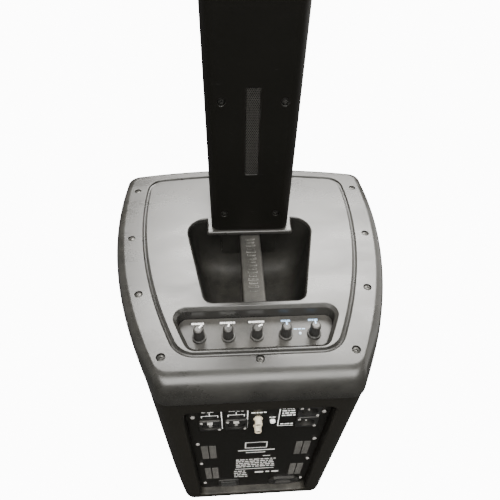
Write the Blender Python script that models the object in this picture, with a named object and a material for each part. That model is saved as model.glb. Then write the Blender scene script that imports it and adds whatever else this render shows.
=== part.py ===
"""Column loudspeaker system: a powered bass cabinet with a top mixer, and a two-piece plug-in column.

Metres, +Z up. The grille faces -Y, the connector plate faces +Y, and the origin is on the floor
at the middle of the cabinet.
"""

import math

import bmesh
import bpy
from mathutils import Matrix, Vector

# ------------------------------------------------------------------ clearances
GAP = 0.0003                      # between pieces that touch
SLIP = 0.0007                     # round a spigot in its socket
BOARD_FIT = 0.001                 # round a board inside the cabinet

# ------------------------------------------------------------------ base cabinet
BASE_DEPTH = 0.368
BASE_FRONT_WIDTH = 0.360          # at the widest line
BASE_REAR_WIDTH = 0.206
BASE_HEIGHT = 0.383
WIDEST_FROM_FRONT = 0.077
FRONT_BOW_RADIUS = 0.890
FRONT_CORNER = 0.015
REAR_CORNER = 0.018
FOOT_HEIGHT = 0.010
FOOT_RADIUS = 0.018
FOOT_INSET = 0.042
SIDE_WALL = 0.012
REAR_WALL = 0.020
FLOOR_WALL = 0.012
CABINET_STEP = 0.001              # how far the cap stands out over the cabinet

# ------------------------------------------------------------------ top cap
CAP_SKIRT = 0.026
CAP_TOP_WALL = 0.0045
CAP_SIDE_ROUND = 0.012
CAP_FRONT_ROUND = 0.008
CAP_REAR_ROUND = 0.025
CAP_SIDE_WALL = 0.008
CAP_REAR_WALL = 0.016
GROOVE_SIDE_INSET = 0.037
GROOVE_FRONT_INSET = 0.021
GROOVE_REAR_INSET = 0.041
GROOVE_WIDTH = 0.005
GROOVE_DEPTH = 0.002
CAP_SCREW_INSET = 0.0205
CAP_SCREW_FROM_FRONT = (0.055, 0.154, 0.246, 0.328)
CAP_SCREW_HOLE_RADIUS = 0.0046
CAP_SCREW_HOLE_DEPTH = 0.0028

# ------------------------------------------------------------------ mixer pocket
POCKET_SIDE_INSET = 0.047
POCKET_REAR_INSET = 0.0455
POCKET_LENGTH = 0.056
POCKET_DEPTH = 0.0174
POCKET_CORNER = 0.014
POCKET_BEVEL = 0.004
POCKET_LEDGE = 0.005
POCKET_WALL = 0.0025
MIXER_PLATE = 0.002
KNOB_COUNT = 5
KNOB_END_MARGIN = 0.0228
KNOB_FROM_POCKET_REAR = 0.0264
KNOB_SKIRT_RADIUS = 0.0078
KNOB_RADIUS = 0.0056
KNOB_HEIGHT = 0.0182
KNOB_REST_TURN_DEG = (-38.0, -12.0, -60.0, 0.0, 4.0)   # where each pointer stands, from straight ahead
SHAFT_RADIUS = 0.003
POT_RADIUS = 0.008
POT_HEIGHT = 0.0073
LENS_RADIUS = 0.0018
LENS_SHIFT = (-0.0006, -0.0014)   # from half way between the last two knobs

# ------------------------------------------------------------------ handle well and column deck
WELL_WEB = 0.006                  # cap left between the well and the pocket
WELL_REAR_HALF_WIDTH = 0.0575
WELL_SIDE_SLOPE = 0.237
WELL_FRONT_FROM_FRONT = 0.119
WELL_FRONT_CORNER = 0.025
WELL_REAR_CORNER = 0.011
WELL_DEPTH = 0.087
WELL_WALL = 0.002
DECK_HALF_WIDTH = 0.057
DECK_OVERHANG = 0.004             # deck left behind the column's rear face
HANDLE_WIDTH = 0.027
HANDLE_HEIGHT = 0.022
HANDLE_DROP = 0.008
SOCKET_WALL = 0.006

# ------------------------------------------------------------------ column
COLUMN_WIDTH = 0.102
COLUMN_DEPTH = 0.115
COLUMN_FROM_FRONT = 0.0277
COLUMN_CORNER = 0.012
COLUMN_WALL = 0.0045
COLUMN_LENGTH = 0.810
COLUMN_SCREW_HALF_SPACING = 0.0331
COLUMN_SCREW_FROM_END = 0.0285
COLUMN_SCREW_ROWS = 6
COLUMN_SCREW_RADIUS = 0.0045
VENT_WIDTH = 0.015
VENT_LENGTH = 0.105
VENT_FROM_FOOT = 0.089
SPIGOT_WIDTH = 0.064
SPIGOT_DEPTH = 0.056
SPIGOT_LENGTH = 0.042
SPIGOT_SHIFT = 0.009              # spigot centre, behind the column's centre
END_PLATE = 0.010
CONTACT_WIDTH = 0.030
CONTACT_HEIGHT = 0.008
DRIVER_COUNT = 6
DRIVER_PITCH = 0.122
DRIVER_FLANGE_RADIUS = 0.039
DRIVER_CUTOUT_RADIUS = 0.033
ARRAY_WINDOW_MARGIN = 0.006
ARRAY_CAP = 0.006

# ------------------------------------------------------------------ bass driver, baffle and grille
BAFFLE_FROM_FRONT = 0.034
BAFFLE_THICKNESS = 0.015
WOOFER_RADIUS = 0.129
WOOFER_CUTOUT_RADIUS = 0.116
WOOFER_FROM_FLOOR = 0.009         # cabinet floor to the frame's lowest point
PORT_RADIUS = 0.024
PORT_LENGTH = 0.105
PORT_FLANGE = 0.034
PORT_SIDE = 0.122
PORT_FROM_TOP = 0.065
GRILLE_THICKNESS = 0.0016
GRILLE_SIDE_MARGIN = 0.024
GRILLE_BOTTOM_MARGIN = 0.014

# ------------------------------------------------------------------ connector plate
RECESS_DEPTH = 0.0113
RECESS_SIDE_MARGIN = 0.021
RECESS_BOTTOM = 0.015             # above the cabinet's underside
RECESS_TOP_MARGIN = 0.023         # below the cap's skirt
PLATE_THICKNESS = 0.0025
PLATE_CORNER = 0.006
PLATE_LEDGE = 0.013
CONNECTOR_RADIUS = 0.0112
FLANGE_WIDTH = 0.026
FLANGE_HEIGHT = 0.027
COMBO_X = (0.0552, 0.0254)
COMBO_FROM_TOP = 0.056
OUTPUT_X = -0.0571
OUTPUT_FROM_TOP = (0.028, 0.0575)
PHONO_X = 0.0005
PHONO_FROM_TOP = (0.042, 0.062)
PAIR_X = -0.0166
PAIR_FROM_TOP = 0.052
INLET_X = -0.047
INLET_FROM_BOTTOM = 0.024
ROCKER_X = 0.038
ROCKER_FROM_BOTTOM = 0.024
ROCKER_TILT_DEG = 8.0

# ------------------------------------------------------------------ places worked out from the sizes
FRONT_Y = -BASE_DEPTH / 2
REAR_Y = BASE_DEPTH / 2
HALF_WIDTH = BASE_FRONT_WIDTH / 2
WIDEST_Y = FRONT_Y + WIDEST_FROM_FRONT
REAR_DROP = HALF_WIDTH - BASE_REAR_WIDTH / 2
SIDE_RADIUS = ((REAR_Y - WIDEST_Y) ** 2 + REAR_DROP ** 2) / (2 * REAR_DROP)
SEAM_Z = BASE_HEIGHT - CAP_SKIRT
CABINET_REAR_Y = REAR_Y - CABINET_STEP
POCKET_REAR_Y = REAR_Y - POCKET_REAR_INSET
POCKET_FRONT_Y = POCKET_REAR_Y - POCKET_LENGTH
POCKET_FLOOR_Z = BASE_HEIGHT - POCKET_DEPTH
KNOB_Y = POCKET_REAR_Y - KNOB_FROM_POCKET_REAR
WELL_REAR_Y = POCKET_FRONT_Y - WELL_WEB
WELL_FRONT_Y = FRONT_Y + WELL_FRONT_FROM_FRONT
WELL_FLOOR_Z = BASE_HEIGHT - WELL_DEPTH
COLUMN_Y = FRONT_Y + COLUMN_FROM_FRONT + COLUMN_DEPTH / 2
COLUMN_REAR_Y = COLUMN_Y + COLUMN_DEPTH / 2
DECK_REAR_Y = COLUMN_REAR_Y + DECK_OVERHANG
SPIGOT_Y = COLUMN_Y + SPIGOT_SHIFT
SOCKET_DEPTH = SPIGOT_LENGTH + CONTACT_HEIGHT + 0.001
UNDER_CAP_Z = BASE_HEIGHT - CAP_TOP_WALL
LOWER_FOOT_Z = BASE_HEIGHT + GAP
UPPER_FOOT_Z = LOWER_FOOT_Z + COLUMN_LENGTH + GAP
UPPER_TOP_Z = UPPER_FOOT_Z + COLUMN_LENGTH
CABINET_FLOOR_Z = FOOT_HEIGHT + FLOOR_WALL
BAFFLE_Y = FRONT_Y + BAFFLE_FROM_FRONT
WOOFER_Z = CABINET_FLOOR_Z + WOOFER_FROM_FLOOR + WOOFER_RADIUS
PORT_Z = BASE_HEIGHT - PORT_FROM_TOP
PLATE_FACE_Y = CABINET_REAR_Y + CABINET_STEP - RECESS_DEPTH
PLATE_BACK_Y = PLATE_FACE_Y - PLATE_THICKNESS
RECESS_Z0 = FOOT_HEIGHT + RECESS_BOTTOM
RECESS_Z1 = SEAM_Z - RECESS_TOP_MARGIN
RECESS_HALF = BASE_REAR_WIDTH / 2 - RECESS_SIDE_MARGIN
PLATE_Z0 = RECESS_Z0 + 0.001
PLATE_Z1 = RECESS_Z1 - 0.001
PLATE_HALF = RECESS_HALF - 0.0015

ROUND = 24                        # sides of a round piece
FACING_FRONT = (math.pi / 2, 0.0, 0.0)
FACING_REAR = (math.pi / 2, 0.0, math.pi)


# ================================================================== building tools
def clear_scene():
    """Remove everything that the scene starts with."""
    for old in list(bpy.data.objects):
        bpy.data.objects.remove(old, do_unlink=True)


def finish(name, colour, roughness, metallic=0.0):
    """Make one plain finish."""
    made = bpy.data.materials.new(name)
    made.use_nodes = True
    shader = made.node_tree.nodes["Principled BSDF"]
    shader.inputs["Base Color"].default_value = (*colour, 1.0)
    shader.inputs["Roughness"].default_value = roughness
    shader.inputs["Metallic"].default_value = metallic
    return made


def side_x(y, inset):
    """Half width of the plan outline at y, moved in by inset."""
    reach = SIDE_RADIUS - inset
    return HALF_WIDTH - SIDE_RADIUS + math.sqrt(reach ** 2 - (y - WIDEST_Y) ** 2)


def arc(centre, radius, start, end, steps):
    """Points along an arc, both ends included."""
    points = []
    for step in range(steps + 1):
        angle = start + (end - start) * step / steps
        points.append((centre[0] + radius * math.cos(angle), centre[1] + radius * math.sin(angle)))
    return points


def heading(start, end):
    """Direction angle from one point to another."""
    return math.atan2(end[1] - start[1], end[0] - start[0])


def band_outline(inset, front, rear, front_corner, rear_corner, bowed=True):
    """Plan outline between two bowed sides, counter-clockwise from the middle of the front."""
    side_centre = (HALF_WIDTH - SIDE_RADIUS, WIDEST_Y)
    side_reach = SIDE_RADIUS - inset
    rear_c_y = rear - rear_corner
    rear_c_x = side_centre[0] + math.sqrt((side_reach - rear_corner) ** 2 - (rear_c_y - WIDEST_Y) ** 2)
    rear_c = (rear_c_x, rear_c_y)
    bow_centre = (0.0, FRONT_Y + FRONT_BOW_RADIUS)
    bow_reach = bow_centre[1] - front
    front_c_y = front + front_corner
    front_c_x = 0.0
    for _ in range(40):
        front_c_x = side_centre[0] + math.sqrt((side_reach - front_corner) ** 2 - (front_c_y - WIDEST_Y) ** 2)
        if bowed:
            front_c_y = bow_centre[1] - math.sqrt((bow_reach - front_corner) ** 2 - front_c_x ** 2)
    front_c = (front_c_x, front_c_y)
    half = [(0.0, front)]
    if bowed:
        tangent = heading(bow_centre, front_c)
        half += arc(bow_centre, bow_reach, -math.pi / 2, tangent, 5)[1:]
    else:
        tangent = -math.pi / 2
        half.append((front_c_x, front))
    side_start = heading(side_centre, front_c)
    side_end = heading(side_centre, rear_c)
    half += arc(front_c, front_corner, tangent, side_start, 4)[1:]
    half += arc(side_centre, side_reach, side_start, side_end, 8)[1:]
    half += arc(rear_c, rear_corner, side_end, math.pi / 2, 4)[1:]
    mirrored = [(-x, y) for x, y in reversed(half[1:])]
    return half + mirrored


def well_outline(grow):
    """Plan outline of the handle well without its deck, moved out by grow."""
    rear = WELL_REAR_Y + grow
    front = WELL_FRONT_Y - grow
    corner = WELL_FRONT_CORNER + grow
    rear_half = WELL_REAR_HALF_WIDTH + grow
    widest = DECK_HALF_WIDTH - 0.001 + corner
    turn_y = front + corner
    lean = math.atan2(widest - rear_half, rear - WELL_REAR_CORNER - turn_y)
    half = [(0.0, front)]
    half += arc((widest - corner, turn_y), corner, -math.pi / 2, lean, 5)
    half += arc((rear_half - WELL_REAR_CORNER * 0.9, rear - WELL_REAR_CORNER), WELL_REAR_CORNER,
                lean, math.pi / 2, 4)
    mirrored = [(-x, y) for x, y in reversed(half[1:])]
    return half + mirrored


def rounded_rectangle(width, depth, corner, steps=4, centre=(0.0, 0.0)):
    """Rounded rectangle, counter-clockwise."""
    points = []
    for turn, (sx, sy) in enumerate(((1, 1), (-1, 1), (-1, -1), (1, -1))):
        middle = (centre[0] + sx * (width / 2 - corner), centre[1] + sy * (depth / 2 - corner))
        points += arc(middle, corner, turn * math.pi / 2, (turn + 1) * math.pi / 2, steps)
    return points


def circle(radius, sides=ROUND, centre=(0.0, 0.0)):
    """Points of a circle, counter-clockwise."""
    return arc(centre, radius, 0.0, 2 * math.pi * (sides - 1) / sides, sides - 1)


def at_height(points, z):
    """Plan points lifted to z."""
    return [(x, y, z) for x, y in points]


def upright(points, y):
    """Points of an elevation (x, z) stood up at y."""
    return [(x, y, z) for x, z in points]


def scaled(points, factor, centre):
    """Plan points drawn towards a centre."""
    return [(centre[0] + (x - centre[0]) * factor, centre[1] + (y - centre[1]) * factor) for x, y in points]


def loft_mesh(loops, closed_ring=False):
    """Skin loops of equal count into one closed solid, or into a ring when the loops close."""
    shape = bmesh.new()
    rows = [[shape.verts.new(point) for point in loop] for loop in loops]
    count = len(rows[0])
    pairs = list(zip(rows, rows[1:]))
    if closed_ring:
        pairs.append((rows[-1], rows[0]))
    for lower, upper in pairs:
        for i in range(count):
            j = (i + 1) % count
            shape.faces.new((lower[i], lower[j], upper[j], upper[i]))
    if not closed_ring:
        shape.faces.new(list(reversed(rows[0])))
        shape.faces.new(rows[-1])
    bmesh.ops.recalc_face_normals(shape, faces=shape.faces)
    return shape


def prism(points, z0, z1):
    """Plan outline extruded from z0 to z1."""
    return loft_mesh([at_height(points, z0), at_height(points, z1)])


def upright_prism(points, y0, y1):
    """Elevation outline (x, z) extruded from y0 to y1."""
    return loft_mesh([upright(points, y0), upright(points, y1)])


def block(x0, x1, y0, y1, z0, z1):
    """Box between two corners."""
    return prism([(x0, y0), (x1, y0), (x1, y1), (x0, y1)], z0, z1)


def turned_mesh(profile, sides=ROUND):
    """Closed profile of (radius, height) points turned about local Z."""
    shape = bmesh.new()
    rings = []
    for radius, height in profile:
        if radius < 1e-7:
            rings.append([shape.verts.new((0.0, 0.0, height))])
            continue
        ring = []
        for side in range(sides):
            angle = 2 * math.pi * side / sides
            ring.append(shape.verts.new((radius * math.cos(angle), radius * math.sin(angle), height)))
        rings.append(ring)
    for index, first in enumerate(rings):
        second = rings[(index + 1) % len(rings)]
        if len(first) == 1 and len(second) == 1:
            continue
        for i in range(sides):
            j = (i + 1) % sides
            if len(first) == 1:
                shape.faces.new((first[0], second[i], second[j]))
            elif len(second) == 1:
                shape.faces.new((first[i], second[0], first[j]))
            else:
                shape.faces.new((first[i], second[i], second[j], first[j]))
    bmesh.ops.recalc_face_normals(shape, faces=shape.faces)
    return shape


def merged(*shapes):
    """Several shapes in one mesh; each stays a body of its own, so this is for cutters."""
    whole = bmesh.new()
    for shape in shapes:
        holder = bpy.data.meshes.new("part_of_cutter")
        shape.to_mesh(holder)
        shape.free()
        whole.from_mesh(holder)
        bpy.data.meshes.remove(holder)
    return whole


def place(name, shape, material, origin=(0.0, 0.0, 0.0), smooth=True):
    """Put a shape made in world places into an object whose origin is at origin."""
    bmesh.ops.translate(shape, verts=shape.verts, vec=-Vector(origin))
    return stand(name, shape, material, origin, (0.0, 0.0, 0.0), smooth)


def stand(name, shape, material, location, rotation, smooth=True):
    """Put a shape made about its own origin at a place and turn."""
    mesh = bpy.data.meshes.new(name)
    shape.to_mesh(mesh)
    shape.free()
    return stand_mesh(name, mesh, material, location, rotation, smooth)


def stand_mesh(name, mesh, material, location, rotation, smooth=True):
    """Put a mesh, which copies may share, at a place and turn."""
    made = bpy.data.objects.new(name, mesh)
    bpy.context.scene.collection.objects.link(made)
    if not mesh.materials:
        mesh.materials.append(material)
    if smooth:
        mesh.shade_smooth()
        mesh.set_sharp_from_angle(angle=math.radians(35))
    made.location = location
    made.rotation_euler = rotation
    return made


def carve(target, shape, name, how="DIFFERENCE", location=(0.0, 0.0, 0.0), rotation=(0.0, 0.0, 0.0)):
    """Cut a shape out of a piece, or join it on."""
    mesh = bpy.data.meshes.new(name)
    shape.to_mesh(mesh)
    shape.free()
    tool = bpy.data.objects.new(name, mesh)
    bpy.context.scene.collection.objects.link(tool)
    tool.location = location
    tool.rotation_euler = rotation
    tool.hide_render = True
    tool.display_type = "WIRE"
    step = target.modifiers.new(name, "BOOLEAN")
    step.operation = how
    step.solver = "EXACT"
    step.object = tool


# ================================================================== base cabinet
def base_outline(inset, extra_front=0.0, extra_rear=0.0, least=0.003):
    """Cabinet outline moved in all round, with more off the front or rear if asked."""
    front_corner = max(FRONT_CORNER - inset, least)
    rear_corner = max(REAR_CORNER - inset, least)
    return band_outline(inset, FRONT_Y + inset + extra_front, REAR_Y - inset - extra_rear,
                        front_corner, rear_corner)


def grille_half_width():
    """Half width of the opening in the cabinet's front."""
    return HALF_WIDTH - GRILLE_SIDE_MARGIN


def make_cabinet(black):
    """Cabinet walls, floor and rear, open at the top and front."""
    step = CABINET_STEP
    shell = place("cabinet_shell", prism(base_outline(step), FOOT_HEIGHT, SEAM_Z - GAP), black,
                  (0.0, 0.0, FOOT_HEIGHT))
    wall = step + SIDE_WALL
    cavity = band_outline(wall, FRONT_Y + wall, REAR_Y - step - REAR_WALL, 0.003, 0.010)
    carve(shell, prism(cavity, CABINET_FLOOR_Z, BASE_HEIGHT), "cut_cavity")
    half = grille_half_width()
    carve(shell, block(-half, half, FRONT_Y - 0.02, BAFFLE_Y, FOOT_HEIGHT + GRILLE_BOTTOM_MARGIN,
                       BASE_HEIGHT),
          "cut_front_window")
    middle = (RECESS_Z0 + RECESS_Z1) / 2
    recess = rounded_rectangle(2 * RECESS_HALF, RECESS_Z1 - RECESS_Z0, PLATE_CORNER + 0.001, 3,
                               (0.0, middle))
    carve(shell, upright_prism(recess, PLATE_BACK_Y - GAP, REAR_Y + 0.01), "cut_recess")
    ledge = 2 * PLATE_LEDGE
    window = rounded_rectangle(2 * RECESS_HALF - ledge, RECESS_Z1 - RECESS_Z0 - ledge, 0.004, 3,
                               (0.0, middle))
    carve(shell, upright_prism(window, REAR_Y - 0.06, REAR_Y + 0.02), "cut_plate_window")


def make_baffle(dark):
    """Front board with the bass driver's hole and the port's hole."""
    front = BAFFLE_Y
    rear = BAFFLE_Y + BAFFLE_THICKNESS
    wall = CABINET_STEP + SIDE_WALL + BOARD_FIT
    plan = [(-side_x(front, wall), front), (side_x(front, wall), front),
            (side_x(rear, wall), rear), (-side_x(rear, wall), rear)]
    board = place("front_baffle", prism(plan, CABINET_FLOOR_Z + GAP, SEAM_Z - GAP), dark,
                  (0.0, front, WOOFER_Z))
    holes = merged(
        upright_prism(circle(WOOFER_CUTOUT_RADIUS, 32, (0.0, WOOFER_Z)), front - 0.01, rear + 0.01),
        upright_prism(circle(PORT_RADIUS + 0.0035, ROUND, (-PORT_SIDE, PORT_Z)), front - 0.01, rear + 0.01))
    carve(board, holes, "cut_baffle_holes")


def make_grille(dark):
    """Bowed front grille."""
    half = grille_half_width() - 0.0005
    centre = (0.0, FRONT_Y + FRONT_BOW_RADIUS)
    outer = FRONT_BOW_RADIUS - CABINET_STEP
    inner = outer - GRILLE_THICKNESS
    swing = math.asin(half / outer)
    plan = arc(centre, outer, -math.pi / 2 - swing, -math.pi / 2 + swing, 12)
    plan += arc(centre, inner, -math.pi / 2 + swing, -math.pi / 2 - swing, 12)
    place("front_grille", prism(plan, FOOT_HEIGHT + GRILLE_BOTTOM_MARGIN + 0.0005, SEAM_Z - 0.001), dark,
          (0.0, FRONT_Y, FOOT_HEIGHT))


def cap_round(y):
    """Edge radius of the cap at y: small in front, larger along the sides, largest at the rear."""
    to_rear = min(max((y - (REAR_Y - 0.065)) / 0.045, 0.0), 1.0)
    to_front = min(max((FRONT_Y + 0.035 - y) / 0.025, 0.0), 1.0)
    radius = CAP_SIDE_ROUND
    radius += (CAP_REAR_ROUND - CAP_SIDE_ROUND) * to_rear
    radius += (CAP_FRONT_ROUND - CAP_SIDE_ROUND) * to_front
    return radius


def cap_loops():
    """Outer loops of the cap from the skirt's edge over the rounded rim to the flat top."""
    base = band_outline(0.0, FRONT_Y, REAR_Y, FRONT_CORNER, REAR_CORNER)
    loops = [at_height(base, SEAM_Z)]
    steps = 5
    for step in range(steps + 1):
        angle = math.pi / 2 * step / steps
        share = 1 - math.cos(angle)
        drop = 1 - math.sin(angle)
        outline = band_outline(CAP_SIDE_ROUND * share, FRONT_Y + CAP_FRONT_ROUND * share,
                               REAR_Y - CAP_REAR_ROUND * share, FRONT_CORNER, REAR_CORNER)
        loops.append([(x, y, BASE_HEIGHT - cap_round(by) * drop) for (x, y), (_, by) in zip(outline, base)])
    return loops


def pocket_outline(inset, corner):
    """Plan outline of the mixer pocket, moved in by inset."""
    return band_outline(POCKET_SIDE_INSET + inset, POCKET_FRONT_Y + inset, POCKET_REAR_Y - inset,
                        corner, corner, bowed=False)


def cap_screw_places():
    """Plan places of the screws round the cap."""
    places = []
    for from_front in CAP_SCREW_FROM_FRONT:
        y = FRONT_Y + from_front
        for side in (-1, 1):
            places.append((side * side_x(y, CAP_SCREW_INSET), y))
    places.append((0.0, POCKET_REAR_Y + 0.0117))
    return places


def make_cap(black):
    """Top cap: rounded rim, groove, mixer pocket, handle well, column deck and screw recesses."""
    cap = place("top_cap", loft_mesh(cap_loops()), black, (0.0, 0.0, SEAM_Z))
    under = band_outline(CAP_SIDE_WALL, FRONT_Y + CAP_SIDE_WALL, REAR_Y - CAP_REAR_WALL, 0.008, 0.008)
    carve(cap, prism(under, SEAM_Z - 0.01, UNDER_CAP_Z), "cut_underside")
    tub_z = POCKET_FLOOR_Z - MIXER_PLATE - GAP - POCKET_WALL
    carve(cap, prism(pocket_outline(-POCKET_WALL, POCKET_CORNER + 0.003), tub_z, UNDER_CAP_Z + 0.001),
          "add_pocket_tub", "UNION")
    bevel = POCKET_BEVEL
    floor_corner = POCKET_CORNER - bevel
    pocket = [at_height(pocket_outline(bevel, floor_corner), POCKET_FLOOR_Z - MIXER_PLATE - GAP),
              at_height(pocket_outline(bevel, floor_corner), BASE_HEIGHT - bevel),
              at_height(pocket_outline(0.0, POCKET_CORNER), BASE_HEIGHT),
              at_height(pocket_outline(0.0, POCKET_CORNER), BASE_HEIGHT + 0.01)]
    carve(cap, loft_mesh(pocket), "cut_pocket")
    carve(cap, prism(pocket_outline(bevel + POCKET_LEDGE, 0.006), SEAM_Z - 0.02, BASE_HEIGHT),
          "cut_pocket_window")
    loops = []
    for inset, z in ((0.0, BASE_HEIGHT + 0.002), (0.0, BASE_HEIGHT),
                     (GROOVE_WIDTH / 2, BASE_HEIGHT - GROOVE_DEPTH),
                     (GROOVE_WIDTH, BASE_HEIGHT), (GROOVE_WIDTH, BASE_HEIGHT + 0.002)):
        outline = band_outline(GROOVE_SIDE_INSET - GROOVE_WIDTH / 2 + inset,
                               FRONT_Y + GROOVE_FRONT_INSET - GROOVE_WIDTH / 2 + inset,
                               REAR_Y - GROOVE_REAR_INSET + GROOVE_WIDTH / 2 - inset,
                               0.024 - inset, 0.030 - inset)
        loops.append(at_height(outline, z))
    carve(cap, loft_mesh(loops, closed_ring=True), "cut_groove")
    well = loft_mesh([at_height(well_outline(0.0), UNDER_CAP_Z - 0.01),
                      at_height(well_outline(0.0), BASE_HEIGHT + 0.01)])
    carve(cap, well, "cut_well")
    deck = block(-DECK_HALF_WIDTH, DECK_HALF_WIDTH, WELL_FRONT_Y - 0.006, DECK_REAR_Y, UNDER_CAP_Z,
                 BASE_HEIGHT)
    carve(cap, deck, "add_deck", "UNION")
    half_x = SPIGOT_WIDTH / 2 + SLIP
    half_y = SPIGOT_DEPTH / 2 + SLIP
    carve(cap, block(-half_x, half_x, SPIGOT_Y - half_y, SPIGOT_Y + half_y, UNDER_CAP_Z - 0.01,
                     BASE_HEIGHT + 0.01),
          "cut_spigot_hole")
    recesses = [prism(circle(CAP_SCREW_HOLE_RADIUS, 12, spot), BASE_HEIGHT - CAP_SCREW_HOLE_DEPTH,
                      BASE_HEIGHT + 0.01)
                for spot in cap_screw_places()]
    carve(cap, merged(*recesses), "cut_cap_screws")


def liner_loops(grow, floor_drop):
    """Loops of the well's bowl, floor first."""
    centre = (0.0, (WELL_FRONT_Y + WELL_REAR_Y) / 2)
    levels = ((0.50, 0.0), (0.74, 0.005), (0.86, 0.018), (0.94, 0.045), (1.0, None))
    loops = []
    for factor, rise in levels:
        z = UNDER_CAP_Z - GAP if rise is None else WELL_FLOOR_Z - floor_drop + rise
        loops.append(at_height(scaled(well_outline(grow), factor, centre), z))
    return loops


def make_liner(black):
    """Bowl of the handle well, notched for the column socket."""
    centre = (0.0, (WELL_FRONT_Y + WELL_REAR_Y) / 2, WELL_FLOOR_Z)
    outer = loft_mesh(liner_loops(0.0005 + WELL_WALL, WELL_WALL))
    liner = place("well_liner", outer, black, centre)
    inner = liner_loops(0.0005, 0.0)
    top = [(x, y, z + 0.01) for x, y, z in inner[-1]]
    carve(liner, loft_mesh(inner + [top]), "cut_bowl")
    half, front, rear, low = socket_size(GAP)
    carve(liner, block(-half, half, front, rear, low, BASE_HEIGHT), "cut_socket_notch")


def socket_size(grow):
    """Half width, front, rear and underside of the socket block, moved out by grow."""
    half = SPIGOT_WIDTH / 2 + SLIP + SOCKET_WALL + grow
    reach = SPIGOT_DEPTH / 2 + SLIP + SOCKET_WALL + grow
    low = BASE_HEIGHT - SOCKET_DEPTH - SOCKET_WALL - grow
    return half, SPIGOT_Y - reach, SPIGOT_Y + reach, low


def make_socket_block(name, material, top, outer, corner=0.003):
    """Open-topped socket for a spigot, with a contact block on its floor."""
    floor = top - SOCKET_DEPTH
    low = floor - SOCKET_WALL
    body = place(name, prism(outer, low, top), material, (0.0, SPIGOT_Y, top))
    hole = rounded_rectangle(SPIGOT_WIDTH + 2 * SLIP, SPIGOT_DEPTH + 2 * SLIP, corner, 2, (0.0, SPIGOT_Y))
    carve(body, prism(hole, floor, top + 0.01), "cut_hole_of_" + name)
    half = CONTACT_WIDTH / 2 - SLIP
    carve(body, block(-half, half, SPIGOT_Y - 0.005, SPIGOT_Y + 0.005, floor - 0.002,
                      floor + CONTACT_HEIGHT),
          "add_contacts_of_" + name, "UNION")


def make_column_socket(black):
    """Socket under the deck that holds the lower column."""
    half, front, rear, _ = socket_size(0.0)
    outer = [(-half, front), (half, front), (half, rear), (-half, rear)]
    top = UNDER_CAP_Z - GAP
    body = place("column_socket", prism(outer, BASE_HEIGHT - SOCKET_DEPTH - SOCKET_WALL, top), black,
                 (0.0, SPIGOT_Y, BASE_HEIGHT))
    floor = BASE_HEIGHT - SOCKET_DEPTH
    hole = rounded_rectangle(SPIGOT_WIDTH + 2 * SLIP, SPIGOT_DEPTH + 2 * SLIP, 0.003, 2, (0.0, SPIGOT_Y))
    carve(body, prism(hole, floor, top + 0.01), "cut_column_socket")
    half_contact = CONTACT_WIDTH / 2 - SLIP
    carve(body, block(-half_contact, half_contact, SPIGOT_Y - 0.005, SPIGOT_Y + 0.005, floor - 0.002,
                      floor + CONTACT_HEIGHT), "add_column_contacts", "UNION")


def make_handle(grey):
    """Grip bar from the socket to the rear of the well."""
    top = BASE_HEIGHT - HANDLE_DROP
    middle_z = top - HANDLE_HEIGHT / 2
    _, _, socket_rear, _ = socket_size(GAP)
    bowl_rear = max(y for _, y, _ in liner_loops(0.0005, 0.0)[3])
    section = rounded_rectangle(HANDLE_WIDTH, HANDLE_HEIGHT, 0.005, 3, (0.0, middle_z))
    place("handle_bar", upright_prism(section, socket_rear, bowl_rear - GAP), grey,
          (0.0, socket_rear, middle_z))


def make_feet(rubber):
    """Four rubber feet."""
    profile = [(0.0, 0.0), (FOOT_RADIUS - 0.002, 0.0), (FOOT_RADIUS, 0.003),
               (FOOT_RADIUS, FOOT_HEIGHT - GAP),
               (0.0, FOOT_HEIGHT - GAP)]
    holder = turned_mesh(profile, 16)
    mesh = bpy.data.meshes.new("foot")
    holder.to_mesh(mesh)
    holder.free()
    front = FRONT_Y + FOOT_INSET
    rear = REAR_Y - FOOT_INSET
    number = 0
    for y in (front, rear):
        for side in (-1, 1):
            number += 1
            x = side * (side_x(y, 0.0) - FOOT_INSET)
            stand_mesh(f"foot_{number}", mesh, rubber, (x, y, 0.0), (0.0, 0.0, 0.0))


# ================================================================== mixer
def knob_places():
    """Places of the knobs, from +X to -X."""
    reach = side_x(KNOB_Y, POCKET_SIDE_INSET) - KNOB_END_MARGIN
    return [(reach - 2 * reach * i / (KNOB_COUNT - 1), KNOB_Y) for i in range(KNOB_COUNT)]


def lens_place():
    """Place of the status light, between the last two knobs."""
    fourth, fifth = knob_places()[-2:]
    return ((fourth[0] + fifth[0]) / 2 + LENS_SHIFT[0], KNOB_Y + LENS_SHIFT[1])


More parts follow.
